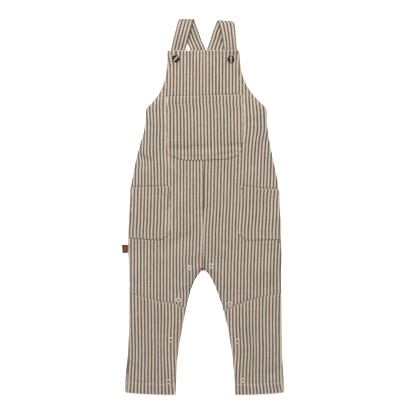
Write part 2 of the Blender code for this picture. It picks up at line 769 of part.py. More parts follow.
def build_tab():
    """A folded strip of leather caught in the side seam, lying out from it."""
    tab = bmesh.new()
    corners = [tab.verts.new((x * MM, y * MM, TAB_FLOOR * MM)) for x, y in TAB_CORNERS]
    raised = bmesh.ops.extrude_face_region(tab, geom=[tab.faces.new(corners)])
    upper = [part for part in raised["geom"] if isinstance(part, bmesh.types.BMVert)]
    bmesh.ops.translate(tab, verts=upper, vec=(0.0, 0.0, TAB_THICK * MM))
    bmesh.ops.recalc_face_normals(tab, faces=tab.faces[:])
    shape = new_object("side_tab", tab, TAB_LEATHER)
    worn = shape.modifiers.new("worn edges", "BEVEL")
    worn.width = 0.6 * MM
    worn.segments = 2


def main():
    for old in list(bpy.data.objects):
        bpy.data.objects.remove(old, do_unlink=True)
    fronts = build_panels()
    build_pockets()
    for side in ("left", "right"):
        build_strap(side)
        build_button(side, fronts["front_" + side])
        build_snaps(side, fronts)
    build_tab()


main()
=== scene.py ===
"""Looks of a small child's striped cotton dungarees, fastened and laid flat with the front up.

The cloth panels, pockets and straps are thin shells on the form of the solids they stand for:
the same outlines, heights and folds, with a fine mesh, rolled edges, puckers and soft creases.
The stripes follow the cloth through each piece's own UV map, one unit to a stripe repeat.
Stitches, buttons, ring snaps and the leather tab are modelled pieces.

X runs across, Y up towards the straps, Z away from the surface. Sizes are in millimetres.
"""

import math
from collections import namedtuple
from functools import partial

import bpy
import numpy as np
from mathutils import Matrix, Vector
from mathutils.bvhtree import BVHTree

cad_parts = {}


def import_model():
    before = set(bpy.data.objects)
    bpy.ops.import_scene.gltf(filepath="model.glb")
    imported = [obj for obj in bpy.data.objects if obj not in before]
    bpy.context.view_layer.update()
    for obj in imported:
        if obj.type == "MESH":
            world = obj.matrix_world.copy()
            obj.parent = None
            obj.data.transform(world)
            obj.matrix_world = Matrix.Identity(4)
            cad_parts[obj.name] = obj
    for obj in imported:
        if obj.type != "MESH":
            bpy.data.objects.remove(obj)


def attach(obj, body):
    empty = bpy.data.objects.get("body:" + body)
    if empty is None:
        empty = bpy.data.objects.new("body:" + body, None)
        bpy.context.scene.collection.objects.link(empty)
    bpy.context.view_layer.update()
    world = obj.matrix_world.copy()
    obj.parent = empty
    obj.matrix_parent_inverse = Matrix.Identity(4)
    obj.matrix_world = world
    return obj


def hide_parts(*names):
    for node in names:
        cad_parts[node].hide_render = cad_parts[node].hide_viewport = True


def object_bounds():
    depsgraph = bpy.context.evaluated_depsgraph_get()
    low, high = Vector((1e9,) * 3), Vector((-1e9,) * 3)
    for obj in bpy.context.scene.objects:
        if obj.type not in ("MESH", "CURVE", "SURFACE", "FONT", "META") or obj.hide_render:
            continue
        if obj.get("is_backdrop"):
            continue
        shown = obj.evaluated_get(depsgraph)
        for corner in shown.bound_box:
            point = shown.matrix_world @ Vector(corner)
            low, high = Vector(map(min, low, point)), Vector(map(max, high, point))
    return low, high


MM = 0.001
BODY = "root"
SIDES = ("left", "right")
INWARD = {"left": 1.0, "right": -1.0}     # which way the middle lies from a side, along X


def table(columns, *rows):
    """Rows with named columns."""
    return [namedtuple("Row", columns)(*row) for row in rows]


# ------------------------------------------------------------------ sizes of the garment

CLOTH = 1.2                 # one layer of the heavy striped cotton
GAP = 0.3
MEETS_BACK = CLOTH + GAP    # underside of the front where it is sewn to the back
EDGE_ROLL = 17.0            # how far from a sewn edge the front reaches its full height
FREE_ROLL = 7.0             # the same at the bib's top and at the hems

BIB_TOP = 281.7
CROTCH = -114.6
KNEE = -156.2               # outer ends of the knee seams
KNEE_IN = KNEE - 27.0       # their inner ends
HEM = -335.0
HEM_DIP = 3.9
SEAM_X = -0.2
UNDERARM = 177.6
BACK_RISE = 4.0
BACK_EASE = 45.0

PLACKET_WIDTH = 25.0
PLACKET_RISE = 0.35
HEM_DEPTH = 19.0
SEAM_DIP = 0.5
SEAM_SPREAD = 2.5
SEAM_TOP = 80.0
EDGE_KEEPS = 0.35
HEM_KEEPS = 0.95
BIB_LIFTS = 188.6
BIB_EASE = 16.0

STRAP_THICK = 2.0
STRAP_CLEAR = 9.0
STRAP_EASE = 22.0
RAMP_EASE = 0.15
SETTLING = 0.15
ON_STRAP = STRAP_THICK + GAP

# The outer edges at each level, and the inner ones by how far below the crotch.
OUTER = table(
    "y left right",
    (281.7, -65.6, 64.4), (273.9, -65.9, 65), (259.5, -65.9, 66.3), (245.1, -67.4, 68.6),
    (230.7, -69.8, 73), (216.3, -74.6, 79.8), (201.9, -82.2, 89.9), (187.5, -93.5, 103.5),
    (177.6, -103, 112.8), (171.3, -104.4, 113.8), (155.1, -105, 114.2), (133.5, -108.4, 116.4),
    (111.9, -115, 120), (90.3, -120.6, 124.4), (68.7, -125.4, 129), (47.1, -129.4, 133.4),
    (29.1, -132, 135.6), (-1.5, -134, 137.8), (-50.1, -136, 139.7), (-87.9, -135.6, 140.4),
    (-129.3, -134.2, 139.8), (-168.9, -134.4, 140.5), (-212.1, -134.8, 140.8),
    (-255.3, -136.3, 141.3), (-287.7, -139.2, 143), (-327.3, -142.8, 146), (-339, -141, 144.4),
)
INNER = table(
    "depth left right",
    (0, -0.3, 0.1), (2.1, -4.9, 5.3), (5.7, -8, 8.1), (11.1, -12, 11.8), (20.1, -16.9, 16.7),
    (32.7, -21.9, 22.3), (47.1, -26.2, 27.6), (65.1, -30.7, 33.4), (86.7, -35.1, 39.3),
    (108.3, -39.3, 44.2), (129.9, -43.2, 47.9), (162.3, -47.4, 52.5), (194.7, -49.2, 55),
    (225, -50.6, 56.8),
)
# How far the front of each leg stops short of its back.
FRONT_INSET = table(
    "y outer_left outer_right inner_left inner_right",
    (-114.6, 0, 0, 0, 0), (-122, 0, 0, 1.8, 0.4), (-150, 0, 0, 2.4, 0.6), (-172, 0, 0, 0.3, 0.3),
    (-255, 0.2, 0, 0, 0), (-290, 2.2, 1.2, 0, 0), (-325, 3, 3.4, 0, 0), (-339, 2.4, 3, 0, 0),
)
KNEE_DROP = table(
    "across left right",
    (0, 0, 0), (0.22, 5.2, 3.9), (0.48, 12.9, 10.8), (0.76, 17.8, 21), (1, 27, 30.5),
)
LOFT = table(
    "y rise",
    (281.7, 1.8), (262, 3), (230, 3.4), (190, 3.3), (100, 3.2), (0, 3.3), (-110, 3.2),
    (-200, 3.2), (-300, 2.8), (-340, 2.2),
)
FOLD = "x y angle length width rise"
FOLDS = table(
    FOLD,
    (3, 108, 2, 128, 6.5, -0.9), (0, 95, 1, 110, 6, 0.4), (-107, 89, -37, 34, 5.5, -1.3),
    (-66, 74, -44, 44, 8, 0.7), (-98, 146, -22, 26, 5.5, -1.1), (95, 156, 12, 34, 6, -0.9),
    (109, 116, 34, 32, 6, -1), (-44, -60, 28, 66, 8, -0.9), (46, -70, -24, 58, 8.5, -0.7),
    (2, -98, 90, 34, 7, -0.9), (-38, -154, 12, 34, 6, -0.9), (118, -140, 20, 46, 7.5, -1),
    (-80, -246, 87, 140, 6, -1), (90, -262, -81, 120, 6, -0.5), (-113, -214, -58, 42, 7, -0.7),
    (124, -296, 32, 34, 7, -0.8), (2, 258, 88, 40, 10, 0.5), (56, 222, 28, 46, 8, -0.5),
)
# The creases that are finer than the solids' folds.
CREASES = table(
    FOLD,
    (-80.5, 142, 85, 46, 3.2, -0.8), (-108.5, 89.5, -36, 26, 4, -1.5),
    (-62, 80, -58, 44, 6, 0.9), (-100, 62, -30, 34, 5, 0.35), (-98, 128, -18, 22, 3, -0.35),
    (92, 154, -4, 26, 2.2, -0.5), (112, 126, 50, 40, 5, -0.7), (98, 166, 14, 26, 3.5, 0.3),
    (104, 104, 30, 30, 3.6, -0.4), (112, 84, 22, 30, 4, -0.3), (82, 62, 12, 50, 6, 0.3),
    (-43, 104.5, -3, 44, 4.2, -1.4), (13, 103.5, 1, 36, 4, -0.6), (-10, 107, 5, 40, 3.6, -0.9),
    (54, 110, 8, 36, 3.8, -1.4), (41, 96, 8, 50, 3.6, -1.2), (4, 114, 1, 130, 9, -0.4),
    (-22, 90, -2, 70, 3.4, -0.6), (-50, 126, 30, 34, 8, -0.35), (-46, 132, 24, 36, 6, -0.25),
    (34, 128, -28, 40, 7, -0.25), (-22, 150, 58, 30, 6, 0.2), (40, 236, 16, 44, 5, -0.3),
    (60, 214, 24, 30, 4, 0.25), (-58, 232, -14, 26, 4.5, -0.3), (-62, 216, -12, 26, 4, -0.25),
    (-20, 262, 74, 26, 6, -0.25), (22, 258, 100, 26, 6, -0.2), (-41, -50.5, 6, 56, 2.8, -0.5),
    (-58, -62, 17, 54, 3.4, -0.6), (-50, -81, 18, 104, 10, 0.5), (114, -130, 24, 90, 22, -0.6),
    (134, -104, 80, 76, 8, -0.6), (127, -142, 20, 34, 6, -0.5), (-18, -86, 34, 30, 4, 0.3),
    (16, -92, -42, 26, 3.6, -0.45), (-12, -96, 48, 24, 3.4, -0.45),
    (34, -94, -30, 34, 4, -0.35), (-30, -130, 4, 24, 3.4, -0.35),
    (-40, -172, 10, 24, 3.6, -0.35), (-34, -142, 14, 22, 3, 0.3), (36, -146, -14, 26, 3.6, -0.3),
    (78, -168, 14, 44, 4.5, -0.25), (110, -158, 14, 40, 4.6, -0.2),
    (126, -124, 26, 24, 3.6, -0.4), (112, -84, 16, 36, 5, -0.3), (-112, -84, -12, 34, 5, -0.3),
    (-92, -76, 4, 60, 4.5, -0.35), (-104, -140, -16, 40, 6, -0.25),
    (-94, -24, 26, 46, 7, -0.25), (-104, 6, 6, 40, 5, -0.25), (100, -28, -22, 46, 7, -0.25),
    (112, 8, 8, 38, 5, -0.3), (-34, 30, 64, 50, 8, 0.2), (36, 22, -58, 50, 8, 0.2),
    (-1, -2, 86, 18, 3.6, -1.6), (-8, -18, 10, 24, 3.6, -0.9), (-82, -250, 88, 150, 6.5, -0.4),
    (-118, -224, 80, 50, 9, -0.4), (-128, -288, -40, 40, 7, -0.6), (-96, -266, 93, 70, 3, -0.5),
    (-124, -226, -66, 30, 4, -0.4), (-122, -288, -44, 30, 4.5, -0.5),
    (-58, -304, 6, 22, 3.6, -0.4), (-56, -222, 14, 26, 3.6, -0.35),
    (-60, -266, 12, 26, 3.6, -0.3), (89, -268, -79, 96, 3, -0.7), (132, -296, 24, 34, 5, -0.9),
    (78, -222, -62, 34, 4, -0.3), (132, -262, 60, 30, 4, -0.3), (66, -262, -12, 22, 3.4, -0.3),
    (68, -292, -8, 22, 3.4, -0.3),
)

# The middle of each strap's legs, and half its width: in front from under the button up, and at
# the back from the shoulder fold down.
LEG = "y x lift reach"
FRONT_LEGS = {
    "left": table(
        LEG,
        (256.9, -52.4, 0, 13), (266.7, -50.6, 0, 13), (277.8, -48.1, 0, 13.2),
        (286, -45.6, 0, 13.3), (295.5, -43.1, ON_STRAP + 0.5, 13.4),
        (315, -38, ON_STRAP + 1.9, 13.6), (330, -33.8, ON_STRAP + 1.1, 13.7),
        (336.5, -31.9, ON_STRAP + 0.6, 13.7),
    ),
    "right": table(
        LEG,
        (255.1, 50.4, 0, 12.2), (265.5, 49.3, 0, 12.2), (272, 48.7, 0, 12.2),
        (283, 47.7, ON_STRAP + 0.5, 12.2), (306, 45.2, ON_STRAP + 1.9, 12.7),
        (324, 42.6, ON_STRAP + 1.1, 14), (331, 41.5, ON_STRAP + 0.6, 14.4),
    ),
}
BACK_LEGS = {
    "left": table(
        LEG,
        (336.5, -30.3, 0, 13.9), (330, -28.1, 0, 13.9), (315, -22.8, 0, 13.8),
        (300.9, -17.6, 0, 13.7), (286.5, -11.7, 0, 14), (252, -0.7, 0, 13.2), (222, 9, 0, 13.2),
        (191, 19, 0, 13.2), (184, 21.3, MEETS_BACK, 13.2), (168, 26.4, MEETS_BACK, 13.2),
    ),
    "right": table(
        LEG,
        (331, 36.7, 0, 14.2), (324, 34.4, 0, 14.1), (315.3, 30.5, 0, 14), (300.9, 26.2, 0, 14),
        (285.5, 21, 0, 14.2), (280.5, 19.4, ON_STRAP, 14), (250, 10.4, ON_STRAP, 13.2),
        (218, 0.9, ON_STRAP, 13.2), (191, -7.2, ON_STRAP, 13.2), (184, -9.2, MEETS_BACK, 13.2),
        (168, -14.4, MEETS_BACK, 13.2),
    ),
}
# The fold's level, how it slopes, and the rounding of its outer corner.
ShoulderFold = namedtuple("ShoulderFold", "y slope corner")
SHOULDER_FOLDS = {
    "left": ShoulderFold(339.0, 0.0, 6.0),
    "right": ShoulderFold(335.8, -0.07, 4.0),
}

# Pocket outlines by their sides: the top edge from left to right, then each side edge down to
# the middle of its lower corner, then the bottom edge from left to right. A side pocket's outer
# edge runs along the side seam. The hem is as deep as its top is turned, the dip is how far the
# front sinks behind its mouth, rubbed is how pale its side edges are rubbed and painted
# with a highlight, and the seam is sewn so far inside them.
Pocket = namedtuple("Pocket", "hem dip rubbed seam top left right bottom")
POCKETS = {
    "chest_pocket": Pocket(
        hem=15.0, dip=1.1, rubbed=0.95, seam=1.2,
        top=[(-68.6, 197.6), (2.5, 199.8), (69.7, 201.6)],
        left=[(-68.6, 197.6), (-67.6, 118), (-66.6, 105), (-64.6, 99.6), (-61.2, 95.2)],
        right=[(69.7, 201.6), (69.7, 111), (68, 103.6), (65.2, 97.8), (61.6, 94)],
        bottom=[
            (-61.2, 95.2), (-57, 91.6), (-51.6, 88.6), (-44, 85.6), (-31.7, 83.8), (2.5, 84.2),
            (40.3, 85.6), (49.6, 87.8), (56.6, 90.6), (61.6, 94),
        ],
    ),
    "side_pocket_left": Pocket(
        hem=18.5, dip=1.1, rubbed=0.6, seam=1.0,
        top=[(-133.2, 33.9), (-114, 34.8), (-92, 35), (-74, 35.9), (-61, 37.6)],
        left=[(-133.2, 33.9), (-132.9, 12), (-134.6, -16), (-135.4, -38), (-135.9, -55.8)],
        right=[(-61, 37.6), (-60.8, -4), (-60.6, -41), (-62.6, -48.6), (-68.6, -54.2)],
        bottom=[(-135.9, -55.8), (-104, -58.2), (-80, -59.6), (-75, -58.6), (-68.6, -54.2)],
    ),
    "side_pocket_right": Pocket(
        hem=18.5, dip=1.1, rubbed=0.08, seam=3.0,
        top=[(65.6, 37.2), (78.7, 35.2), (92, 33.5), (108.7, 32), (125.8, 31.3), (136.9, 29.8)],
        left=[(65.6, 37.2), (63.4, -4), (61, -42), (61.6, -46.8), (68, -54.4)],
        right=[(136.9, 29.8), (137, 8), (138.2, -16), (139, -38), (139.5, -59)],
        bottom=[(68, -54.4), (74.4, -59), (79.4, -59.9), (108, -59.4), (139.5, -59)],
    ),
}

# Each button's thread runs along its groove: about its middle, as far as its reach, and with its
# last turns across it or none.
Button = namedtuple("Button", "x y angle middle reach crossed")
BUTTONS = {
    "left": Button(-49.9, 266.5, 45.0, 0.0, 4.7, False),
    "right": Button(49.1, 265.2, 90.0, 1.6, 2.8, True),
}
BUTTON_RADIUS = 6.3
BUTTON_HEIGHT = 2.1
BUTTON_DISH = 0.84 * BUTTON_HEIGHT   # the lowest level of its dished face
SNAP = "panel x y socket"
SNAPS = {
    "left": table(
        SNAP,
        ("front_left", -25.4, -110.1, "pale socket"), ("front_left", -45.4, -168.0, "dull socket"),
        ("shin_left", -58.7, -239.7, "dark socket"), ("shin_left", -63.4, -315.1, "dark socket"),
    ),
    "right": table(
        SNAP,
        ("front_right", 13.5, -106.6, "dull socket"), ("front_right", 47.3, -175.2, "dull socket"),
        ("shin_right", 60.7, -242.2, "dark socket"), ("shin_right", 70.6, -312.6, "dull socket"),
    ),
}
SNAP_RADIUS = 4.5
SNAP_HOLE = 2.2
SNAP_HEIGHT = 0.9
TAB_CORNERS = [(-136.4, -68.6), (-147.4, -68.6), (-146.2, -83.6), (-136.4, -82.9)]
TAB_THICK = 2.2
TAB_FLOOR = 0.2
TAB_RIM = 1.6
TAB_SLIT = 0.22

# ------------------------------------------------------------------ the cloth's finer shape

STEP = 1.5                  # between two points of a cloth mesh
EDGE_BANDS = (0.0, 0.1, 0.3, 0.62, 1.0, 1.7, 2.7)   # the closer ones along an edge
EDGE_ROUND = 0.8            # radius of a folded edge, as a share of the cloth's thickness
TURNED_HEM = 0.15           # how much thicker the bib's and the pockets' hems are
LEG_HEM = 0.5               # the same of the leg hems, which are turned in twice
HEM_SLOPE = 1.6
BIB_HEM = 8.6
ARMHOLE_FACING = 8.0
BOTTOM_STITCH = 5.2         # the row of stitching inside a pocket's bottom
POCKET_SINK = 0.38          # how far the front is drawn down along a pocket's stitched edges
MOUTH_GAPE = 0.5            # how far a pocket's top edge stands off the front
RIPPLE = 7.3                # from crest to crest of the puckers along a seam

STRIPE = 5.9                # one dark and one light stripe
TWILL = 0.9                 # from one twill line to the next, up the cloth
CREASE_SHADE = 0.2               # painted shade in a crease 1 mm deep, as a share of the full shade
RIDGE_HIGHLIGHT = 0.1                 # painted highlight on a ridge 1 mm high, as a share of the way to the pale colour

FOLD_STEPS = 14             # of a strap over the shoulder
STRAP_STRIPES = 4.4         # stripes across a strap
STRAP_STEP = 2.4
STRAP_INSET = 1.9           # rows of stitching beside a strap's edges
STRAP_GROOVE = 0.84         # where they draw it in, as a share of the way to its edge

STITCH_LENGTH = 2.7
STITCH_PITCH = 3.4
THREAD = 0.42               # radius of the topstitching thread
ABOVE_ALL = 60.0            # a height that is clear of everything


def ease(t):
    """0 to 1 with a soft start and end."""
    t = np.clip(t, 0.0, 1.0)
    return t * t * (3.0 - 2.0 * t)


def rise(distance, reach):
    """0 at an edge, 1 from reach on, steepest at the edge like cloth that rolls over it."""
    return 1.0 - (1.0 - np.clip(distance / reach, 0.0, 1.0)) ** 2


def bell(distance):
    return np.exp(-distance ** 2)


def read(rows, column, at):
    """A column of a table between its rows, on a curve that never overshoots them."""
    keys, values = np.array(sorted((row[0], getattr(row, column)) for row in rows), float).T
    slopes = np.diff(values) / np.diff(keys)
    before, after = slopes[:-1], slopes[1:]
    total = np.where(before * after > 0.0, before + after, 1.0)
    inner = np.where(before * after > 0.0, 2.0 * before * after / total, 0.0)
    tangents = np.concatenate([slopes[:1], inner, slopes[-1:]])
    at = np.clip(np.asarray(at, float), keys[0], keys[-1])
    i = np.clip(np.searchsorted(keys, at, side="right") - 1, 0, len(keys) - 2)
    step = keys[i + 1] - keys[i]
    t = (at - keys[i]) / step
    t2, t3 = t * t, t * t * t
    return (
        values[i] * (2 * t3 - 3 * t2 + 1) + values[i + 1] * (3 * t2 - 2 * t3)
        + step * (tangents[i] * (t3 - 2 * t2 + t) + tangents[i + 1] * (t3 - t2))
    )


def inner_edge(side, y):
    """Inner edge of one half: the centre seam above the crotch, the inseam below it."""
    depth = np.maximum(CROTCH - np.asarray(y, float), 0.0)
    rooted = [row._replace(depth=math.sqrt(row.depth)) for row in INNER]
    edge = read(rooted, side, np.sqrt(depth))
    edge = np.minimum(edge, SEAM_X) if side == "left" else np.maximum(edge, SEAM_X)
    return np.where(depth > 0.0, edge, SEAM_X)


def edges(side, y, layer="front"):
    """Outer and inner edge of one half of the back or the front at a level."""
    outer, inner = read(OUTER, side, y), inner_edge(side, y)
    if layer == "front":
        inward = np.where(np.asarray(y) < CROTCH, INWARD[side], 0.0)
        outer = outer + inward * read(FRONT_INSET, "outer_" + side, y)
        inner = inner - inward * read(FRONT_INSET, "inner_" + side, y)
    return outer, inner


def knee_level(side, across):
    return KNEE - read(KNEE_DROP, side, across)


def hem_level(across):
    return HEM - HEM_DIP * (1.0 - (1.0 - across) ** 2)


# ------------------------------------------------------------------ height of the front

def strap_support(x, y):
    """Height that the straps under the bib hold its underside up to, 0 away from them."""
    best = np.zeros_like(x)
    for leg in (*FRONT_LEGS.values(), *BACK_LEGS.values()):
        low, high = sorted((leg[0].y, leg[-1].y))
        beside = np.maximum(np.abs(x - read(leg, "x", y)) - read(leg, "reach", y), 0.0)
        beyond = np.maximum(np.maximum(low - y, y - high), 0.0)
        away = np.hypot(beside, beyond) - STRAP_CLEAR
        top = read(leg, "lift", y) + STRAP_THICK + GAP + RAMP_EASE
        best = np.maximum(best, top * (1.0 - ease(away / STRAP_EASE)))
    return best


def folds(rows, x, y):
    """Troughs and ridges with soft ends, from a table of them."""
    total = np.zeros_like(x)
    for fold in rows:
        cos, sin = math.cos(math.radians(fold.angle)), math.sin(math.radians(fold.angle))
        dx, dy = x - fold.x, y - fold.y
        ends = np.exp(-(2.0 * (dx * cos + dy * sin) / fold.length) ** 4)
        total += fold.rise * ends * bell((dy * cos - dx * sin) / fold.width)
    return total


def seam_dips(side, x, y, outer, inner):
    """How much the cloth is drawn down at the centre seam, the knee seams and the hem stitching."""
    def dip(distance):
        return SEAM_DIP * bell(distance / SEAM_SPREAD)

    across = (x - outer) / (inner - outer)
    centre = 0.3 * dip(x - SEAM_X) * ease((SEAM_TOP - y) / SEAM_SPREAD)
    leg = dip(y - knee_level(side, across)) + dip(y - hem_level(across) - HEM_DEPTH)
    return np.where(y > CROTCH, centre, leg)


def front_low(side, x, y):
    """Underside of the front cloth above the surface."""
    outer, inner = edges(side, y)
    seam_side = np.where(y > CROTCH, np.hypot(x - SEAM_X, y - CROTCH), np.abs(x - inner))
    height = rise(np.abs(x - outer), EDGE_ROLL) * rise(seam_side, EDGE_ROLL)
    height = height * (EDGE_KEEPS + (1.0 - EDGE_KEEPS) * rise(BIB_TOP - y, FREE_ROLL))
    height = height * (HEM_KEEPS + (1.0 - HEM_KEEPS) * rise(y - HEM + HEM_DIP, FREE_ROLL))
    shape = read(LOFT, "rise", y) + folds(FOLDS, x, y) - seam_dips(side, x, y, outer, inner)
    placket = 1.0 - ease((seam_side - PLACKET_WIDTH) / SEAM_SPREAD + 0.5)
    shape = shape + np.where(y < CROTCH + 2 * SEAM_SPREAD, PLACKET_RISE * placket, 0.0)
    loose = MEETS_BACK * (1.0 - ease((y - BIB_LIFTS) / BIB_EASE)) + height * shape
    held = strap_support(x, y)
    return (loose + held + np.sqrt((loose - held) ** 2 + SETTLING)) / 2


# ------------------------------------------------------------------ stripes

# Where the stripes of each piece run: how many repeats, and between what places they lie at each
# level, the middle of an inner dark stripe and that of an outer one.
RUN = "y inner outer"
STRIPES = {
    "front_left": (20, table(
        RUN,
        (282, -1.1, -117.9), (227, -1.6, -118.2), (180, -1.6, -120.4), (137, -1.5, -116.8),
        (94, -1.5, -116.2), (47, -1.3, -117), (11, -1.3, -117.6), (-43, -0.6, -118.8),
        (-72, -1.6, -118.9), (-160, -2.2, -119),
    )),
    "front_right": (20, table(
        RUN,
        (282, 4, 124.9), (200, 4.1, 123.8), (158, 4, 127.4), (137, 3.9, 126.6), (115, 3.4, 123.7),
        (94, 2.7, 122), (47, 1.3, 120), (11, 0.9, 118), (-25, -0.9, 116.5), (-46, -2.4, 117),
        (-72, -2.7, 116), (-112, -4, 114.4), (-160, -5, 114),
    )),
    "shin_left": (13, table(
        RUN,
        (-160, -52.4, -130.7), (-205, -52.1, -130), (-234, -53.1, -129.2), (-262, -53.3, -128.5),
        (-291, -52, -129.8), (-316, -50.9, -131), (-333, -49.7, -131.9),
    )),
    "shin_right": (13, table(
        RUN,
        (-160, 58.6, 136.9), (-205, 58.5, 135.9), (-262, 60.7, 136.2), (-291, 59.2, 136.2),
        (-316, 58.3, 136.8), (-333, 58.6, 140),
    )),
    "back_left": (23, table(RUN, (182, -2.6, -138.4), (-340, -2.6, -138.4))),
    "back_right": (24, table(RUN, (182, -0.3, 141.4), (-340, -0.3, 141.4))),
    "chest_pocket": (22, table(
        RUN,
        (198, 65.6, -67.3), (187, 65.3, -67.6), (176, 66.4, -66), (159, 66.6, -65.5),
        (137, 66.8, -65), (94, 68.4, -64.7),
    )),
    "side_pocket_left": (11, table(
        RUN,
        (29, -63.4, -130.3), (11, -64.4, -130.5), (-7, -64.8, -131.4), (-25, -65.2, -131.8),
        (-43, -66.1, -133.2),
    )),
    "side_pocket_right": (11, table(
        RUN,
        (29, 65, 133.9), (11, 64.8, 132.1), (-7, 64.3, 131.6), (-25, 63, 130.7), (-43, 61.6, 129.6),
    )),
}
# Where the cloth is pulled aside: the pull's middle and reach, and how far it shifts the stripes.
PULLS = table(
    "x y reach_x reach_y shift",
    (-66, 272, 12, 17, -3), (-92, 112, 34, 44, -2.9), (-56, 279, 10, 12, -2.2),
    (58, 279, 14, 12, 1.8), (-106, 98, 12, 11, -1.3), (-114, 78, 12, 11, 1.3),
    (-86, -248, 9, 34, 0.7), (-71, -248, 9, 34, -0.7), (80, -256, 9, 40, 0.8),
    (97, -256, 9, 40, -0.8), (104, 140, 16, 14, 1), (-22, -98, 22, 13, -1.1),
    (-40, -162, 14, 14, 1.3),
)


def weave_place(piece, x, y):
    """UV of a place on the cloth: stripe repeats counted across, and the same unit along them."""
    count, runs = STRIPES[piece]
    inner, outer = read(runs, "inner", y), read(runs, "outer", y)
    across = x
    for pull in PULLS:
        away = np.hypot((x - pull.x) / pull.reach_x, (y - pull.y) / pull.reach_y)
        across = across - pull.shift * bell(away)
    return (across - inner) / np.abs(outer - inner) * count, y / STRIPE


# ------------------------------------------------------------------ uneven cloth

def mottle(x, y, size, seed):
    """A soft uneven field between -1 and 1, with lumps of about the given size."""
    lattice = np.random.default_rng(seed).uniform(-1.0, 1.0, (128, 128))
    gx, gy = x / size + 64.0, y / size + 64.0
    ix, iy = np.floor(gx).astype(int) % 127, np.floor(gy).astype(int) % 127
    tx, ty = ease(gx - np.floor(gx)), ease(gy - np.floor(gy))
    near = lattice[ix, iy] * (1 - tx) + lattice[ix + 1, iy] * tx
    far = lattice[ix, iy + 1] * (1 - tx) + lattice[ix + 1, iy + 1] * tx
    return near * (1 - ty) + far * ty


def uneven(along, size, seed):
    """The same along a line."""
    return mottle(along, along * 0.0, size, seed)


def relief(x, y):
    """Creases and the soft unevenness of cloth that has been worn and washed."""
    soft = 0.2 * mottle(x, y, 43.0, 3) + 0.1 * mottle(x, y, 17.0, 5) + 0.05 * mottle(x, y, 7.5, 7)
    return folds(CREASES, x, y) + soft


def crease_shading(x, y):
    """Painted shade in the creases by how deep they are, and below 0 painted highlight on the
    ridges.
    """
    height = folds(CREASES, x, y) + folds(FOLDS, x, y) / 2
    return np.where(height < 0.0, np.minimum(-CREASE_SHADE * height, 1.0), -RIDGE_HIGHLIGHT * height)


# ------------------------------------------------------------------ lines on the garment

def run_along(line):
    """How far along a line each of its points is."""
    return np.concatenate([[0.0], np.cumsum(np.linalg.norm(np.diff(line, axis=0), axis=1))])


def points_at(line, run, at):
    """Points so far along a line, given how far along it its own points are."""
    return np.stack([np.interp(at, run, column) for column in np.transpose(line)], axis=-1)


Nearest = namedtuple("Nearest", "distance along")
AT_ONCE = 4000              # points that are measured together, to save memory


def nearest_on(line, x, y):
    """Distance from each point to a line, and how far along the line it is nearest."""
    line = np.asarray(line, float)
    start, step = line[:-1], np.diff(line, axis=0)
    length = np.maximum(np.hypot(*step.T), 1e-9)
    begun = np.concatenate([[0.0], np.cumsum(length)[:-1]])
    flat = np.stack([np.ravel(x), np.ravel(y)], axis=1)
    distance, along = np.empty(len(flat)), np.empty(len(flat))
    for first in range(0, len(flat), AT_ONCE):
        part = flat[first:first + AT_ONCE, None, :] - start[None]
        share = np.clip((part * step).sum(axis=2) / length ** 2, 0.0, 1.0)
        gap = np.hypot(*np.moveaxis(part - share[..., None] * step, 2, 0))
        best = gap.argmin(axis=1)
        row = np.arange(len(best))
        distance[first:first + AT_ONCE] = gap[row, best]
        along[first:first + AT_ONCE] = begun[best] + share[row, best] * length[best]
    return Nearest(distance.reshape(np.shape(x)), along.reshape(np.shape(x)))


def inset(line, distance):
    """A line moved to its left by a distance."""
    heading = np.gradient(line, axis=0)
    heading /= np.maximum(np.hypot(*heading.T), 1e-9)[:, None]
    return line + distance * np.stack([-heading[:, 1], heading[:, 0]], axis=1)


def outer_line(side, start, stop, layer="front", step=3.0, edge=0):
    """A half's outer edge between two levels."""
    y = np.linspace(start, stop, max(round(abs(stop - start) / step), 1) + 1)
    return np.stack([edges(side, y, layer)[edge], y], axis=1)


def inner_line(side, start, stop, layer="front"):
    return outer_line(side, start, stop, layer, step=1.5, edge=1)


def across_line(side, level, above=0.0):
    """From the outer to the inner edge along a level given by the share of the way across."""
    share = np.linspace(0.0, 1.0, 40)
    y = level(share)
    outer, inner = edges(side, y)
    return np.stack([outer + share * (inner - outer), y + above], axis=1)


def knee_line(side, above=0.0):
    return across_line(side, partial(knee_level, side), above)


def bib_line(side, level):
    return np.array([(read(OUTER, side, level), level), (SEAM_X, level)], float)


def pocket_outline(name):
    """A pocket's outline, clockwise from its top left corner."""
    pocket = POCKETS[name]
    return np.array(pocket.top + pocket.right[1:] + pocket.bottom[-2::-1] + pocket.left[-2:0:-1])


def within(outline, x, y):
    """Which points lie inside a closed outline."""
    inside = np.zeros(x.shape, bool)
    for (x0, y0), (x1, y1) in zip(outline, np.roll(outline, -1, axis=0)):
        spans = (y0 > y) != (y1 > y)
        height = y1 - y0 if y1 != y0 else 1.0
        inside ^= spans & (x < (x1 - x0) * (y - y0) / height + x0)
    return inside


# ------------------------------------------------------------------ seams, edges, wear and painted light

# A line of stitching draws the cloth down by its depth, and the cloth puckers beside it.
Sewn = namedtuple("Sewn", "line depth pucker reach")


def sewn_form(rows, x, y):
    """How lines of stitching shape the cloth."""
    total = np.zeros_like(x)
    for number, row in enumerate(rows):
        near = nearest_on(row.line, x, y)
        seed = 40 + 3 * number
        bent = near.along + 2.2 * uneven(near.along, 19.0, seed)
        waves = np.sin(math.tau * bent / RIPPLE) * (0.55 + 0.45 * uneven(near.along, 11.0, seed + 1))
        total += row.pucker * waves * np.exp(-near.distance / row.reach)
        total -= row.depth * bell(near.distance / 1.3)
    return total


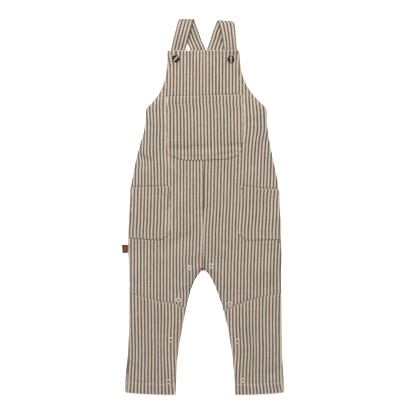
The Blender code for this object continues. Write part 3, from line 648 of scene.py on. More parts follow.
def front_seams(side, part):
    """The lines of stitching on a front panel, by what they are sewn for."""
    inward = INWARD[side]
    if part == "shin":
        inseam = inner_line(side, KNEE_IN - 2.0, HEM)
        seams = {
            "knee": Sewn(knee_line(side, -3.4), 0.2, 0.16, 6.0),
            "hem": Sewn(across_line(side, hem_level, HEM_DEPTH), 0.28, 0.2, 7.0),
            "hem fold": Sewn(across_line(side, hem_level, 0.6), 0.0, 0.16, 5.0),
        }
    else:
        inseam = inner_line(side, CROTCH - 0.5, KNEE_IN + 1.0)
        armhole = outer_line(side, BIB_TOP - 1.0, UNDERARM)
        seams = {
            "bib hem": Sewn(bib_line(side, BIB_TOP - BIB_HEM), 0.5, 0.26, 6.0),
            "armhole": Sewn(inset(armhole, inward * ARMHOLE_FACING), 0.2, 0.16, 5.0),
            "armhole edge": Sewn(inset(armhole, inward * 1.8), 0.15, 0.1, 4.0),
            "side": Sewn(outer_line(side, UNDERARM, KNEE), 0.0, 0.14, 6.0),
        }
    seams["inseam"] = Sewn(inset(inseam, -inward * 2.2), 0.2, 0.15, 5.0)
    seams["placket"] = Sewn(inset(inseam, -inward * (PLACKET_WIDTH - 1.5)), 0.2, 0.14, 5.0)
    if part == "shin":
        seams["side"] = Sewn(outer_line(side, KNEE - 1.0, HEM), 0.0, 0.12, 6.0)
        return seams
    # The centre seam is stitched down on its left alone.
    x = SEAM_X - 1.9 * inward
    centre = np.array([(x, SEAM_TOP), (x, CROTCH + 4.0)])
    seams["centre"] = Sewn(centre, 0.2 if side == "left" else 0.0, 0.14, 5.0)
    return seams


def free_edges(side, part):
    """The lines along which a front panel is turned under."""
    if part == "shin":
        return [
            knee_line(side), across_line(side, hem_level), outer_line(side, KNEE, HEM),
            inner_line(side, KNEE_IN, HEM - HEM_DIP),
        ]
    return [
        bib_line(side, BIB_TOP), outer_line(side, BIB_TOP, KNEE),
        inner_line(side, CROTCH, KNEE_IN - 3.0), knee_line(side),
    ]


def edge_distance(lines, x, y):
    return np.min([nearest_on(line, x, y).distance for line in lines], axis=0)


# A line along which the cloth is rubbed pale and painted with a highlight: how pale it is, and how
# far beside the line.
Rub = namedtuple("Rub", "line share reach")
RUBBED_AND_HIGHLIT = {
    "left": [
        Rub([(-1.2, -34.0), (-1.2, -82.0)], 0.32, 1.7),
        Rub([(-59.6, 38.0), (-59.2, -42.0)], 0.4, 1.7),
    ],
    "right": [Rub([(71.4, 184.0), (71.4, 118.0)], 0.75, 1.7)],
}


def rubbed_and_highlit_lines(side, part):
    """The folded edges of a front panel that are rubbed pale and painted with a highlight."""
    if part == "shin":
        return [
            Rub(knee_line(side), 0.3, 1.0),
            Rub(across_line(side, hem_level, HEM_DEPTH), 0.18, 1.1),
            Rub(across_line(side, hem_level), 0.35, 1.0),
            Rub(outer_line(side, KNEE, HEM), 0.25, 1.0),
            Rub(inner_line(side, KNEE_IN, HEM - HEM_DIP), 0.1, 1.0),
            Rub(outer_line(side, HEM + 32.0, HEM - 2.0), 0.6, 2.6),
        ]
    return [
        *RUBBED_AND_HIGHLIT[side],
        Rub(bib_line(side, BIB_TOP), 0.7, 1.2),
        Rub(outer_line(side, BIB_TOP, UNDERARM), 0.45, 1.0),
        Rub(outer_line(side, UNDERARM, KNEE), 0.2, 0.9),
    ]


def wear_and_highlight(rubs, x, y):
    """How pale the cloth is rubbed and painted with a highlight, uneven along each line."""
    found = []
    for rub in rubs:
        near = nearest_on(rub.line, x, y)
        patchy = 0.7 + 0.3 * uneven(near.along, 6.0, 71)
        found.append(rub.share * patchy * bell(near.distance / rub.reach))
    return np.max(found, axis=0)


def arch_edge_shade(side, layer, x, y):
    """Painted shadow along the turned edge of the arch between the legs, patchy along it."""
    near = nearest_on(inner_line(side, CROTCH, KNEE - 12.0, layer), x, y)
    patchy = 0.75 + 0.25 * uneven(near.along, 5.0, 77)
    return 1.1 * patchy * bell(near.distance / 2.8)


def pocket_dips(x, y):
    """How far the front sinks right above the pockets' open mouths and along their bottoms."""
    total = np.zeros_like(x)
    for pocket in POCKETS.values():
        top_x, top_y = np.array(pocket.top).T
        above = y - np.interp(x, top_x, top_y)
        inside = np.minimum(x - top_x[0], top_x[-1] - x)
        total -= pocket.dip * ease(inside / 12.0 + 0.3) * bell((above - 0.3) / 1.7)
        sunk = pocket.left[-3:] + pocket.bottom[1:-1] + pocket.right[:-4:-1]
        total -= POCKET_SINK * bell(nearest_on(sunk, x, y).distance / 1.6)
    return total


# ------------------------------------------------------------------ meshes

def link(name, mesh):
    shape = bpy.data.objects.new(name, mesh)
    bpy.context.scene.collection.objects.link(shape)
    return shape


def only(shape):
    """Select this piece alone."""
    bpy.ops.object.select_all(action="DESELECT")
    shape.select_set(True)
    bpy.context.view_layer.objects.active = shape


def mapped_mesh(name, points, faces, uv, worn):
    """A smooth-shaded mesh with a UV place for each point, and its wear and painted light there.

    That is 1 where the cloth is rubbed pale and painted with a highlight, and -1 where it is painted
    in full shade.
    """
    mesh = bpy.data.meshes.new(name)
    mesh.from_pydata((np.asarray(points) * MM).tolist(), [], faces)
    corners = np.empty(len(mesh.loops), int)
    mesh.loops.foreach_get("vertex_index", corners)
    weave = mesh.uv_layers.new(name="weave")
    weave.uv.foreach_set("vector", np.asarray(uv, np.float32)[corners].ravel())
    mesh.attributes.new("worn", "FLOAT", "POINT").data.foreach_set("value", worn)
    mesh.shade_smooth()
    return link(name, mesh)


def grid_faces(index):
    """Quads between the rows and columns of a grid of point numbers, facing up."""
    corners = [index[:-1, :-1], index[1:, :-1], index[1:, 1:], index[:-1, 1:]]
    return np.stack(corners, axis=-1).reshape(-1, 4)


def shell(name, x, y, low, top, worn):
    """A closed wall of cloth from a grid: its top, its underside and the rim between them."""
    index = np.arange(x.size).reshape(x.shape)
    ring = np.concatenate([index[0, :-1], index[:-1, -1], index[-1, :0:-1], index[:0:-1, 0]])
    after = np.roll(ring, -1)
    rim = np.stack([ring, after, after + x.size, ring + x.size], axis=1)
    points = [np.stack([x.ravel(), y.ravel(), z.ravel()], axis=1) for z in (top, low)]
    faces = np.concatenate([grid_faces(index), grid_faces(index + x.size)[:, ::-1], rim])
    place = np.stack([part.ravel() for part in weave_place(name, x, y)], axis=1)
    worn = np.tile(np.asarray(worn, np.float32).ravel(), 2)
    return mapped_mesh(
        name, np.concatenate(points), faces.tolist(), np.concatenate([place, place]), worn
    )


def rounded(low, top, distance):
    """Draw a wall's two sides together at its edges, as a folded edge is round."""
    closed = 1.0 - np.clip(distance / (EDGE_ROUND * CLOTH), 0.0, 1.0)
    middle, half = (low + top) / 2, (top - low) / 2 * np.maximum(np.sqrt(1.0 - closed ** 2), 0.08)
    return middle - half, middle + half


def places(length, count):
    """Places along a length as shares: close together at both ends and count between them."""
    near = np.array(EDGE_BANDS)
    room = length - 2 * near[-1]
    middle = near[-1] + room * np.arange(1, count) / count
    return np.concatenate([near, middle, length - near[::-1]]) / length


# ------------------------------------------------------------------ cloth panels

def panel_grid(side, layer, rows, warp, count):
    """Where a panel's points lie, in rows downwards and from left to right."""
    found = []
    for row in rows:
        outer, inner = edges(side, warp(row, 0.5), layer)
        share = places(float(abs(inner - outer)), count)
        y = warp(row, share)
        outer, inner = edges(side, y, layer)
        found.append((outer + share * (inner - outer), y))
    x, y = np.array(found).transpose(1, 0, 2)
    return (x, y) if side == "left" else (x[:, ::-1], y[:, ::-1])


def front_grid(side):
    """The front, from the bib's top edge to the knee seam."""
    length = BIB_TOP - CROTCH
    trunk = BIB_TOP - length * places(length, round(length / STEP))
    reach = CROTCH - KNEE - GAP / 2
    thigh = CROTCH - reach * np.concatenate([
        np.array([0.4, 1.1, 2.2, 3.6, 5.4]) / reach,
        places(reach, round(reach / STEP))[len(EDGE_BANDS) + 3:],
    ])

    def warp(level, share):
        drawn = max((CROTCH - level) / reach, 0.0) ** 1.5
        return level - drawn * read(KNEE_DROP, side, share)

    return panel_grid(side, "front", np.concatenate([trunk, thigh]), warp, 92)


def shin_grid(side):
    def warp(row, share):
        top = knee_level(side, share) - GAP / 2
        return hem_level(share) + row * (top - hem_level(share))

    return panel_grid(side, "front", 1.0 - places(165.0, 116), warp, 62)


def back_grid(side):
    length = UNDERARM - HEM

    def warp(level, share):
        raised = BACK_RISE * ease((level - UNDERARM) / BACK_EASE + 1.0)
        dipped = max((CROTCH - level) / (CROTCH - HEM), 0.0) ** 2
        return level + raised * np.sin(share * math.pi / 2) + dipped * (hem_level(share) - HEM)

    return panel_grid(side, "back", UNDERARM - length * places(length, 150), warp, 36)


def build_front(side, part):
    """A front panel as a wall with turned edges, creased and puckered along its seams."""
    x, y = front_grid(side) if part == "front" else shin_grid(side)
    sewn = sewn_form(front_seams(side, part).values(), x, y)
    distance = edge_distance(free_edges(side, part), x, y)
    # Painted shade in the creases and painted highlight on the ridges.
    painted_shade = crease_shading(x, y)
    if part == "front":
        covered = np.any([within(pocket_outline(name), x, y) for name in POCKETS], axis=0)
        sewn = np.where(covered, 0.0, sewn) + pocket_dips(x, y)
        hem = TURNED_HEM * ease((y - BIB_TOP + BIB_HEM) / HEM_SLOPE)
        distance = np.minimum(distance, np.where(y < SEAM_TOP, np.abs(x - SEAM_X) + 0.6, 9.0))
        # Painted shade along the bib hem's stitching, at the bib's top edge and along the arch's
        # edge.
        bib_hem_shade = bell(y - BIB_TOP + BIB_HEM) + bell((BIB_TOP - y) / 0.7)
        painted_shade = painted_shade + arch_edge_shade(side, "front", x, y) + 0.12 * bib_hem_shade
    else:
        outer, inner = edges(side, y)
        level = hem_level((x - outer) / (inner - outer))
        hem = LEG_HEM * ease((level + HEM_DEPTH - y) / HEM_SLOPE)
    floor = np.where(y < UNDERARM + BACK_RISE, MEETS_BACK - 0.15, 0.1)
    low = np.maximum(front_low(side, x, y) + relief(x, y) + sewn, floor)
    low, top = rounded(low, low + CLOTH + hem, distance)
    # Pale where the edges are rubbed and painted with highlights, less the painted shade.
    worn = wear_and_highlight(rubbed_and_highlit_lines(side, part), x, y) - painted_shade
    return shell(f"{part}_{side}", x, y, low, top, worn)


def build_back(side):
    """A back panel, flat on the surface, with shallow dents under its creases."""
    x, y = back_grid(side)
    distance = edge_distance([
        outer_line(side, UNDERARM, HEM, "back"), inner_line(side, CROTCH, HEM - HEM_DIP, "back"),
        across_line(side, hem_level),
    ], x, y)
    dent = np.maximum(-folds(CREASES, -x, y), 0.0) * 0.5
    low, top = rounded(np.minimum(dent, 0.3), np.full_like(x, CLOTH), distance)
    # Its edges are rubbed pale and painted with a highlight; painted shadow lies along the arch's
    # edge, where the front shades it.
    worn = 0.2 * bell(distance / 0.9) - 1.2 * arch_edge_shade(side, "back", x, y)
    return shell(f"back_{side}", x, y, low, top, worn)


# ------------------------------------------------------------------ pockets

def pocket_grid(pocket):
    """Points between a pocket's four sides, in rows downwards and from left to right."""
    def along(line, share):
        run = run_along(line)
        return points_at(line, run, share * run[-1])

    across = places(float(np.ptp(np.array(pocket.top)[:, 0])), 64)
    down = places(float(np.ptp(np.array(pocket.left)[:, 1])), 56)
    r, c = np.meshgrid(down, across, indexing="ij")
    r, c = r[..., None], c[..., None]
    top, bottom = along(pocket.top, across)[None], along(pocket.bottom, across)[None]
    left, right = along(pocket.left, down)[:, None], along(pocket.right, down)[:, None]
    corners = (
        (1 - r) * (1 - c) * top[:, :1] + (1 - r) * c * top[:, -1:]
        + r * (1 - c) * bottom[:, :1] + r * c * bottom[:, -1:]
    )
    point = (1 - r) * top + r * bottom + (1 - c) * left + c * right - corners
    return point[..., 0], point[..., 1]


def pocket_seams(name):
    """Stitching along a pocket's sides and bottom and under its hem."""
    pocket = POCKETS[name]
    line = pocket.left + pocket.bottom[1:-1] + pocket.right[::-1]
    run = run_along(line)
    sides = points_at(line, run, np.linspace(0.0, run[-1], round(run[-1] / 3.0) + 1))
    corner = min(pocket.left[-4][1], pocket.right[-4][1])
    low = ease((corner + 4.0 - sides[:, 1:]) / 12.0)
    apart = pocket.seam + (BOTTOM_STITCH - pocket.seam) * low
    hem = np.array(pocket.top, float) - np.array([0.0, pocket.hem])
    return [Sewn(inset(sides, apart), 0.14, 0.12, 4.0), Sewn(hem, 0.14, 0.12, 5.0)]


def build_pocket(name):
    """A patch on the front's own form, its mouth standing a little open."""
    pocket = POCKETS[name]
    x, y = pocket_grid(pocket)
    under = np.where(
        x < SEAM_X, front_low("left", np.minimum(x, SEAM_X), y),
        front_low("right", np.maximum(x, SEAM_X), y),
    )
    below_top = np.interp(x, *np.array(pocket.top).T) - y
    corner = rise(np.minimum(x - x.min(), x.max() - x), 26.0)
    gape = MOUTH_GAPE * corner * bell(np.maximum(below_top, 0.0) / 9.0)
    drawn = np.maximum(sewn_form(pocket_seams(name), x, y), -0.15)
    low = under + relief(x, y) + CLOTH + 0.2 + gape + drawn
    hem = TURNED_HEM * ease((pocket.hem - below_top) / HEM_SLOPE)
    distance = nearest_on(np.vstack([pocket_outline(name), pocket.top[:1]]), x, y).distance
    low, top = rounded(low, low + CLOTH + hem, distance)
    corner_x, corner_y = pocket.top[0]
    hem_end = [(corner_x + 1.8, corner_y - 1.0), (corner_x + 2.0, corner_y - 0.7 * pocket.hem)]
    # Its edges are rubbed pale and painted with a highlight, and its creases are painted in shade.
    worn = wear_and_highlight([
        Rub(pocket.left, pocket.rubbed, 1.2), Rub(pocket.right, pocket.rubbed, 1.4),
        Rub(hem_end, pocket.rubbed, 2.2), Rub(pocket.top, 0.4, 0.9), Rub(pocket.bottom, 0.15, 1.0),
    ], x, y)
    return shell(name, x, y, low, top, worn - crease_shading(x, y))


# ------------------------------------------------------------------ straps

def leg_line(leg):
    """Points along the middle of a strap's leg, and half its width there."""
    y = np.linspace(leg[0].y, leg[-1].y, round(abs(leg[-1].y - leg[0].y) / STRAP_STEP) + 1)
    height = read(leg, "lift", y) + STRAP_THICK / 2
    return np.stack([read(leg, "x", y), y, height, read(leg, "reach", y)], axis=1)


def strap_path(side):
    """Middle line of a strap from its end under the button, over the shoulder fold, to the back."""
    fold = SHOULDER_FOLDS[side]
    across = np.array([1.0, fold.slope]) / math.hypot(1.0, fold.slope)
    upward = np.array([-across[1], across[0]])
    front, back = FRONT_LEGS[side], BACK_LEGS[side]
    radius = (front[-1].lift - back[0].lift) / 2
    middle = np.array([(front[-1].x + back[0].x) / 2, fold.y - radius - STRAP_THICK / 2])
    height = back[0].lift + STRAP_THICK / 2 + radius
    turn = math.pi / 2 - math.pi * np.linspace(0.0, 1.0, FOLD_STEPS + 1)
    bend = np.column_stack([
        middle + upward * radius * np.cos(turn)[:, None], height + radius * np.sin(turn),
        np.full(turn.size, (front[-1].reach + back[0].reach) / 2),
    ])
    path = np.vstack([leg_line(front), bend, leg_line(back)])
    return path[:, :3], path[:, 3], np.array([*across, 0.0])


def strap_section(run):
    """Places across a strap as shares of half its width, and half its thickness at each."""
    share = np.concatenate([
        [-1.0, -0.985, -0.95, -0.89, -STRAP_GROOVE, -0.78], np.linspace(-0.66, 0.66, 11),
        [0.78, STRAP_GROOVE, 0.89, 0.95, 0.985, 1.0],
    ])
    half = np.sqrt(1.0 - np.clip((np.abs(share) - 0.93) / 0.07, 0.0, 1.0) ** 2)
    half = np.maximum(half, 0.05) * (1.0 - 0.16 * bell((np.abs(share) - STRAP_GROOVE) / 0.05))
    lumpy = 1.0 + 0.1 * mottle(run[:, None], share[None] * 30.0, 9.0, 61)
    return share, half[None] * lumpy * STRAP_THICK / 2 * 0.94


def build_strap(side):
    """A turned and pressed ribbon, with the rows for its stitches and which way it faces."""
    name = f"strap_{side}"
    path, reach, across = strap_path(side)
    heading = np.vstack([path[1:2] - path[:1], path[2:] - path[:-2], path[-1:] - path[-2:-1]])
    facing = np.cross(across, heading)
    facing /= np.linalg.norm(facing, axis=1)[:, None]
    run = run_along(path)
    share, half = strap_section(run)
    # It sways a little, and its outer corner at the fold is rounded.
    fold = SHOULDER_FOLDS[side]
    corner = np.clip(path[:, 1] - fold.y + fold.corner, 0.0, fold.corner)
    rounding = fold.corner - np.sqrt(fold.corner ** 2 - corner ** 2)
    outward = -INWARD[side]
    aside = reach[:, None] * share + 0.35 * uneven(run, 16.0, 63)[:, None]
    aside -= outward * rounding[:, None] * np.clip(outward * share, 0.0, 1.0)
    middle = path[:, None] + across * aside[..., None]
    thick = facing[:, None] * half[..., None]
    ring = np.concatenate([middle + thick, (middle - thick)[:, ::-1]], axis=1)
    rows, columns = ring.shape[:2]
    index = np.arange(rows * columns).reshape(rows, columns)
    index = np.hstack([index, index[:, :1]])
    caps = [index[0, :-1].tolist(), index[-1, -2::-1].tolist()]
    u = np.tile(np.concatenate([share, share[::-1]]) * STRAP_STRIPES / 2, rows)
    uv = np.stack([u, np.repeat(run / STRIPE, columns)], axis=1)
    # Painted shade where the strap goes under the bib and on the leg behind the front one, and the
    # whole strap a little darker.
    above = path[:, 1] - BIB_TOP
    behind = np.arange(rows) > len(leg_line(FRONT_LEGS[side])) + FOLD_STEPS // 2
    painted_shade = np.where(above > 0.0, 0.3 * bell(above / 5.0), 0.0)
    painted_shade = painted_shade + 0.06 + 0.3 * behind * ease((above - 8.0) / 16.0)
    worn = np.repeat(-painted_shade, columns).astype(np.float32)
    strap = mapped_mesh(name, ring.reshape(-1, 3), grid_faces(index).tolist() + caps, uv, worn)
    in_edit(strap, *FACE_OUT)
    lines = [path + across * edge * (reach[:, None] - STRAP_INSET) for edge in (-1.0, 1.0)]
    return strap, lines, facing


# ------------------------------------------------------------------ stitching

def stitch_shape():
    """One stitch along X: a short arched length of thread with pointed ends."""
    points = [(-1.0, 0.0, -0.8)]
    for station in (-0.62, 0.0, 0.62):
        lift = 0.55 * (1.0 - station ** 2)
        for k in range(5):
            turn = math.tau * k / 5
            points.append((station, math.cos(turn), math.sin(turn) + lift))
    points.append((1.0, 0.0, -0.8))
    last = len(points) - 1
    faces = []
    for k in range(5):
        after = (k + 1) % 5
        faces.append((0, 1 + after, 1 + k))
        faces.append((last, last - 5 + k, last - 5 + after))
        for ring in (1, 6):
            faces.append((ring + k, ring + after, ring + 5 + after, ring + 5 + k))
    return np.array(points), faces


def sew(name, stitches, finish):
    """Join stitches into one mesh, each from its start to its end and facing its own way."""
    shape, shape_faces = stitch_shape()
    points, faces = [], []
    for start, stop, facing in stitches:
        ahead = (stop - start) / 2
        aside = np.cross(facing, ahead)
        aside *= THREAD / np.linalg.norm(aside)
        upward = np.cross(ahead, aside)
        upward *= THREAD / np.linalg.norm(upward)
        first = len(points) * len(shape)
        middle = (start + stop) / 2 + upward * 0.15
        points.append(middle + shape @ np.array([ahead, aside, upward]))
        faces += [tuple(first + k for k in face) for face in shape_faces]
    mesh = bpy.data.meshes.new(name)
    mesh.from_pydata((np.concatenate(points) * MM).tolist(), [], faces)
    mesh.shade_smooth()
    mesh.materials.append(finish)
    return link(name, mesh)


def surface_tree(shape):
    """A piece's surface, for finding what lies at a place."""
    return BVHTree.FromObject(shape, bpy.context.evaluated_depsgraph_get())


def height_on(tree, x, y):
    """Height of a surface at a place, and None beside it."""
    hit = tree.ray_cast(Vector((x, y, ABOVE_ALL)) * MM, Vector((0.0, 0.0, -1.0)))[0]
    return None if hit is None else hit.z / MM


def laid(tree, start, stop, proud=0.0):
    """A stitch between two places, laid on a surface, in a list that is empty beside it."""
    heights = [height_on(tree, *end) for end in (start, stop)]
    if None in heights:
        return []
    ends = [np.array([*end, z + proud]) for end, z in zip((start, stop), heights)]
    return [(*ends, np.array([0.0, 0.0, 1.0]))]


def panel_stitches(panel, lines, covers, seed):
    """Slightly uneven stitches along lines on a panel, where no pocket covers it."""
    chance = np.random.default_rng(seed)
    tree = surface_tree(panel)
    stitches = []
    for line in lines:
        run = run_along(line)
        count = int(run[-1] // STITCH_PITCH)
        for k in range(count):
            start = (k + 0.5) * run[-1] / count - STITCH_LENGTH / 2 + chance.normal(0.0, 0.08)
            stop = start + STITCH_LENGTH + chance.normal(0.0, 0.1)
            ends = points_at(line, run, np.array([start, stop]))
            middle = ends.mean(axis=0)[:, None]
            if not any(within(cover, *middle)[0] for cover in covers):
                stitches += laid(tree, *ends)
    return stitches


def strap_stitches(lines, facing, seed):
    """Stitches along both faces of a strap, apart from those that would touch the surface."""
    chance = np.random.default_rng(seed)
    stitches = []
    for line in lines:
        run = run_along(line)
        count = int(run[-1] // STITCH_PITCH)
        for k in range(count):
            middle = (k + 0.5) * run[-1] / count + chance.normal(0.0, 0.08)
            ends = points_at(line, run, middle + np.array([-0.5, 0.5]) * STITCH_LENGTH)
            up = points_at(facing, run, middle)
            up /= np.linalg.norm(up)
            for outward in (up, -up):
                start, stop = ends + outward * (STRAP_THICK / 2 * 0.86)
                if min(start[2], stop[2]) > 2 * THREAD:
                    stitches.append((start, stop, outward))
    return stitches


# Short bars of close stitches across the ends of seams. The near-black bar on the chest pocket is a
# painted shadow where the pocket's edge stands off the front.
BARTACKS = table(
    "panel x y angle length thread",
    ("front_left", -1.9, -98.5, 90.0, 18.0, "rust"), ("front_left", -3.7, -111.6, 4.0, 5.6, "rust"),
    ("front_right", 2.2, -111.0, 14.0, 3.0, "rust"), ("front_left", -59.9, 21.0, 90.0, 14.0, "tan"),
    ("side_pocket_right", 69.2, 32.6, 0.0, 5.0, "tan"),
    ("front_right", 137.3, -63.0, 90.0, 4.0, "rust"),
    # A near-black bar laid as painted shadow at the chest pocket's corner.
    ("chest_pocket", 68.1, 110.0, 90.0, 9.0, "black"),
)


def bar_stitches(panel, bar):
    """The strands of one bar."""
    tree = surface_tree(panel)
    angle = math.radians(bar.angle)
    step = np.array([math.cos(angle), math.sin(angle)])
    stitches = []
    for apart in (-0.5, 0.0, 0.5):
        start = np.array([bar.x, bar.y]) + np.array([-step[1], step[0]]) * apart
        start = start - step * bar.length / 2
        stitches += laid(tree, start, start + step * bar.length, 0.1)
    return stitches


# ------------------------------------------------------------------ finishes

def linear(code):
    """A hex colour as linear RGBA."""
    parts = [int(code[k:k + 2], 16) / 255 for k in (1, 3, 5)]
    return (*[c / 12.92 if c <= 0.04045 else ((c + 0.055) / 1.055) ** 2.4 for c in parts], 1.0)


def add_node(tree, kind, inputs=(), **settings):
    """Add a shader node with its settings, its inputs set or linked. Returns its outputs."""
    node = tree.nodes.new("ShaderNode" + kind)
    for key, value in settings.items():
        setattr(node, key, value)
    for key, value in inputs.items() if isinstance(inputs, dict) else enumerate(inputs):
        if isinstance(value, bpy.types.NodeSocket):
            tree.links.new(value, node.inputs[key])
        else:
            node.inputs[key].default_value = value
    return node.outputs


def new_finish(name, roughness, **values):
    """A material with a plain shader. Returns it with its tree and shader inputs."""
    material = bpy.data.materials.new(name)
    material.use_nodes = True
    shader = material.node_tree.nodes["Principled BSDF"]
    for key, value in {"Roughness": roughness, **values}.items():
        shader.inputs[key].default_value = value
    return material, material.node_tree, shader.inputs


def striped_cotton():
    """Washed cotton with woven stripes: dark grey-green and warm ecru, a little uneven."""
    values = {"Sheen Weight": 0.15, "Sheen Roughness": 0.6}
    material, tree, shader = new_finish("washed striped cotton", 0.9, **values)
    add = partial(add_node, tree)
    weave = add("UVMap", uv_map="weave")[0]
    across, up, _ = add("SeparateXYZ", [weave])

    # The stripes waver a little along the cloth.
    slow = add("Mapping", {0: weave, "Scale": (0.9, 0.22, 1.0)})[0]
    waver = add("TexNoise", {"Vector": slow, "Scale": 1.0, "Detail": 1.0})[0]
    shift = add("Math", [waver, 0.16, -0.08], operation="MULTIPLY_ADD")[0]
    place = add("Math", [across, shift], operation="ADD")[0]

    # Dark where a stripe's middle is near, with soft dyed edges.
    turn = add("Math", [place, math.tau], operation="MULTIPLY")[0]
    wave = add("Math", [turn], operation="COSINE")[0]
    dark = add("MapRange", [wave, -0.42, 0.42, 0.0, 1.0], interpolation_type="SMOOTHSTEP")[0]

    # Each stripe was dyed and washed a little differently.
    halves = add("Math", [place, 2.0], operation="MULTIPLY")[0]
    number = add("Math", [halves], operation="FLOOR")[0]
    lot = add("TexWhiteNoise", {"W": number}, noise_dimensions="1D")[0]
    ecru, green = (
        add("Mix", {0: lot, 6: linear(one), 7: linear(other)}, data_type="RGBA")[2]
        for one, other in (("#d1baa6", "#c5b6a2"), ("#5a564e", "#4f534c"))
    )
    colour = add("Mix", {0: dark, 6: ecru, 7: green}, data_type="RGBA")[2]

    # Slubs run along the stripes as paler and darker streaks, the cloth has faded in soft
    # patches, and thicker and thinner weft yarns give faint bands across the stripes.
    tone, yarns = 1.0, []
    for stretch, scale, detail, low, high in (
        ((5.0, 0.35, 1.0), 2.0, 3.0, 0.9, 1.08),
        ((0.14, 0.14, 1.0), 1.0, 2.0, 0.96, 1.04),
        ((0.12, 2.2, 1.0), 1.0, 3.0, 0.94, 1.06),
    ):
        there = add("Mapping", {0: weave, "Scale": stretch})[0]
        yarns += add("TexNoise", {"Vector": there, "Scale": scale, "Detail": detail})[:1]
        shade = add("MapRange", [yarns[-1], 0.3, 0.7, low, high])[0]
        tone = add("Math", [tone, shade], operation="MULTIPLY")[0]
    grey = add("CombineColor", [tone, tone, tone])[0]
    colour = add("Mix", {0: 1.0, 6: colour, 7: grey}, data_type="RGBA", blend_type="MULTIPLY")[2]

    # Folded edges are rubbed pale and painted with a highlight, and creases, the arch's edge and the
    # straps' hidden parts are painted in shade toward grey, most of all on the dark stripes.
    worn = add("Attribute", attribute_name="worn")["Fac"]
    rubbed = add("Math", [worn, 0.0], operation="MAXIMUM")[0]
    colour = add("Mix", {0: rubbed, 6: colour, 7: linear("#d6c9b6")}, data_type="RGBA")[2]
    less = add("Math", [worn, -1.0], operation="MULTIPLY")[0]
    painted_shade = add("Math", [less, 0.0], operation="MAXIMUM")[0]
    shade_by_stripe = add("Math", [dark, 0.75, 0.25], operation="MULTIPLY_ADD")[0]
    painted_shade = add("Math", [painted_shade, shade_by_stripe], operation="MULTIPLY")[0]
    colour = add(
        "Mix", {0: painted_shade, 6: colour, 7: linear("#8f8f8d")}, data_type="RGBA", blend_type="MULTIPLY"
    )[2]
    tree.links.new(colour, shader["Base Color"])

    # Twill lines lean across the yarns. They are coarser than the real ones, so that they show.
    lean = add("Math", [across, 0.8, up], operation="MULTIPLY_ADD")[0]
    lean = add("Math", [lean, math.tau * STRIPE / TWILL], operation="MULTIPLY")[0]
    rib = add("Math", [lean], operation="SINE")[0]
    rib = add("Math", [rib, 0.35], operation="MULTIPLY")[0]
    rough = add("Math", [yarns[0], 2.0, rib], operation="MULTIPLY_ADD")[0]
    bump = add("Bump", {"Height": rough, "Strength": 0.35, "Distance": 0.12 * MM})[0]
    tree.links.new(bump, shader["Normal"])
    return material


def mottled(kind):
    """A material whose colour wanders between two, with a raised grain."""
    gloss = {"Specular IOR Level": kind.gloss}
    material, tree, shader = new_finish(kind.name, kind.roughness, **gloss)
    add = partial(add_node, tree)
    place = add("TexCoord")["Object"]
    place = add("Mapping", {0: place, "Scale": kind.stretch})[0]
    scale = 1.0 / (kind.grain * MM)
    grain = add("TexNoise", {"Vector": place, "Scale": scale, "Detail": 3.0})[0]
    spread = add("MapRange", [grain, 0.32, 0.68])[0]
    tones = {0: spread, 6: linear(kind.pale), 7: linear(kind.deep)}
    colour = add("Mix", tones, data_type="RGBA")[2]
    tree.links.new(colour, shader["Base Color"])
    bump = add("Bump", {"Height": grain, "Strength": 0.5, "Distance": kind.depth * MM})[0]
    tree.links.new(bump, shader["Normal"])
    return material


# The colours that a finish wanders between, and the size and depth of its grain in millimetres.
Finish = namedtuple(
    "Finish", "name roughness pale deep grain depth stretch gloss", defaults=[(1.0, 1.0, 1.0), 0.5]
)
HORN_STREAK = (1.0, 0.4, 1.0)
FINISHES = {
    # Spun cotton is matt, with paler and darker twists along it.
    "thread": Finish("ecru cotton thread", 0.8, "#dacdb8", "#bcaf99", 0.6, 0.05),
    "rust": Finish("rust cotton thread", 0.8, "#4a3022", "#3a251b", 0.6, 0.05),
    "tan": Finish("tan cotton thread", 0.8, "#806650", "#6d5542", 0.6, 0.05),
    # The near-black thread is painted shadow, not a thread the garment has.
    "black": Finish("painted shadow thread", 0.8, "#2e2b27", "#211f1c", 0.6, 0.05),
    # Turned horn is streaky and dulled by wear, and paler where the groove is cut into it.
    "horn": Finish("dark horn", 0.45, "#1a130d", "#0d0906", 3.0, 0.03, HORN_STREAK, 0.14),
    "bare horn": Finish("pale inner horn", 0.4, "#b9ae98", "#958a75", 1.4, 0.03, HORN_STREAK),
    # Enamel baked on stamped metal is smooth, with a soft shine.
    "enamel": Finish("cream enamelled metal", 0.35, "#d9d0bc", "#c7bda7", 1.5, 0.01),
    # The sockets seen through the rings are grey, some darker than others.
    "pale socket": Finish("pale socket metal", 0.4, "#a39b88", "#857d6c", 0.8, 0.03),
    "dull socket": Finish("dull socket metal", 0.45, "#8a8376", "#5d574d", 0.8, 0.03),
    "dark socket": Finish("dark socket metal", 0.45, "#5a554c", "#37332e", 0.8, 0.03),
    # Tanned leather has a fine grain and little shine, and its rim is burnished darker.
    "leather": Finish("russet leather", 0.65, "#87471d", "#67340f", 0.9, 0.12, gloss=0.2),
    "burnished": Finish(
        "burnished russet leather", 0.6, "#561f03", "#421803", 0.9, 0.12, gloss=0.2
    ),
}

# ------------------------------------------------------------------ buttons, snaps and tab

SELECT_ALL = partial(bpy.ops.mesh.select_all, action="SELECT")
FACE_OUT = (SELECT_ALL, partial(bpy.ops.mesh.normals_make_consistent, inside=False))


def in_edit(shape, *steps):
    """Run edit-mode steps on one piece."""
    only(shape)
    bpy.ops.object.mode_set(mode="EDIT")
    for step in steps:
        step()
    bpy.ops.object.mode_set(mode="OBJECT")


def apply_new(shape, kind, **settings):
    """Give a piece a modifier and apply it."""
    modifier = shape.modifiers.new(kind.lower(), kind)
    for key, value in settings.items():
        setattr(modifier, key, value)
    only(shape)
    bpy.ops.object.modifier_apply(modifier=modifier.name)


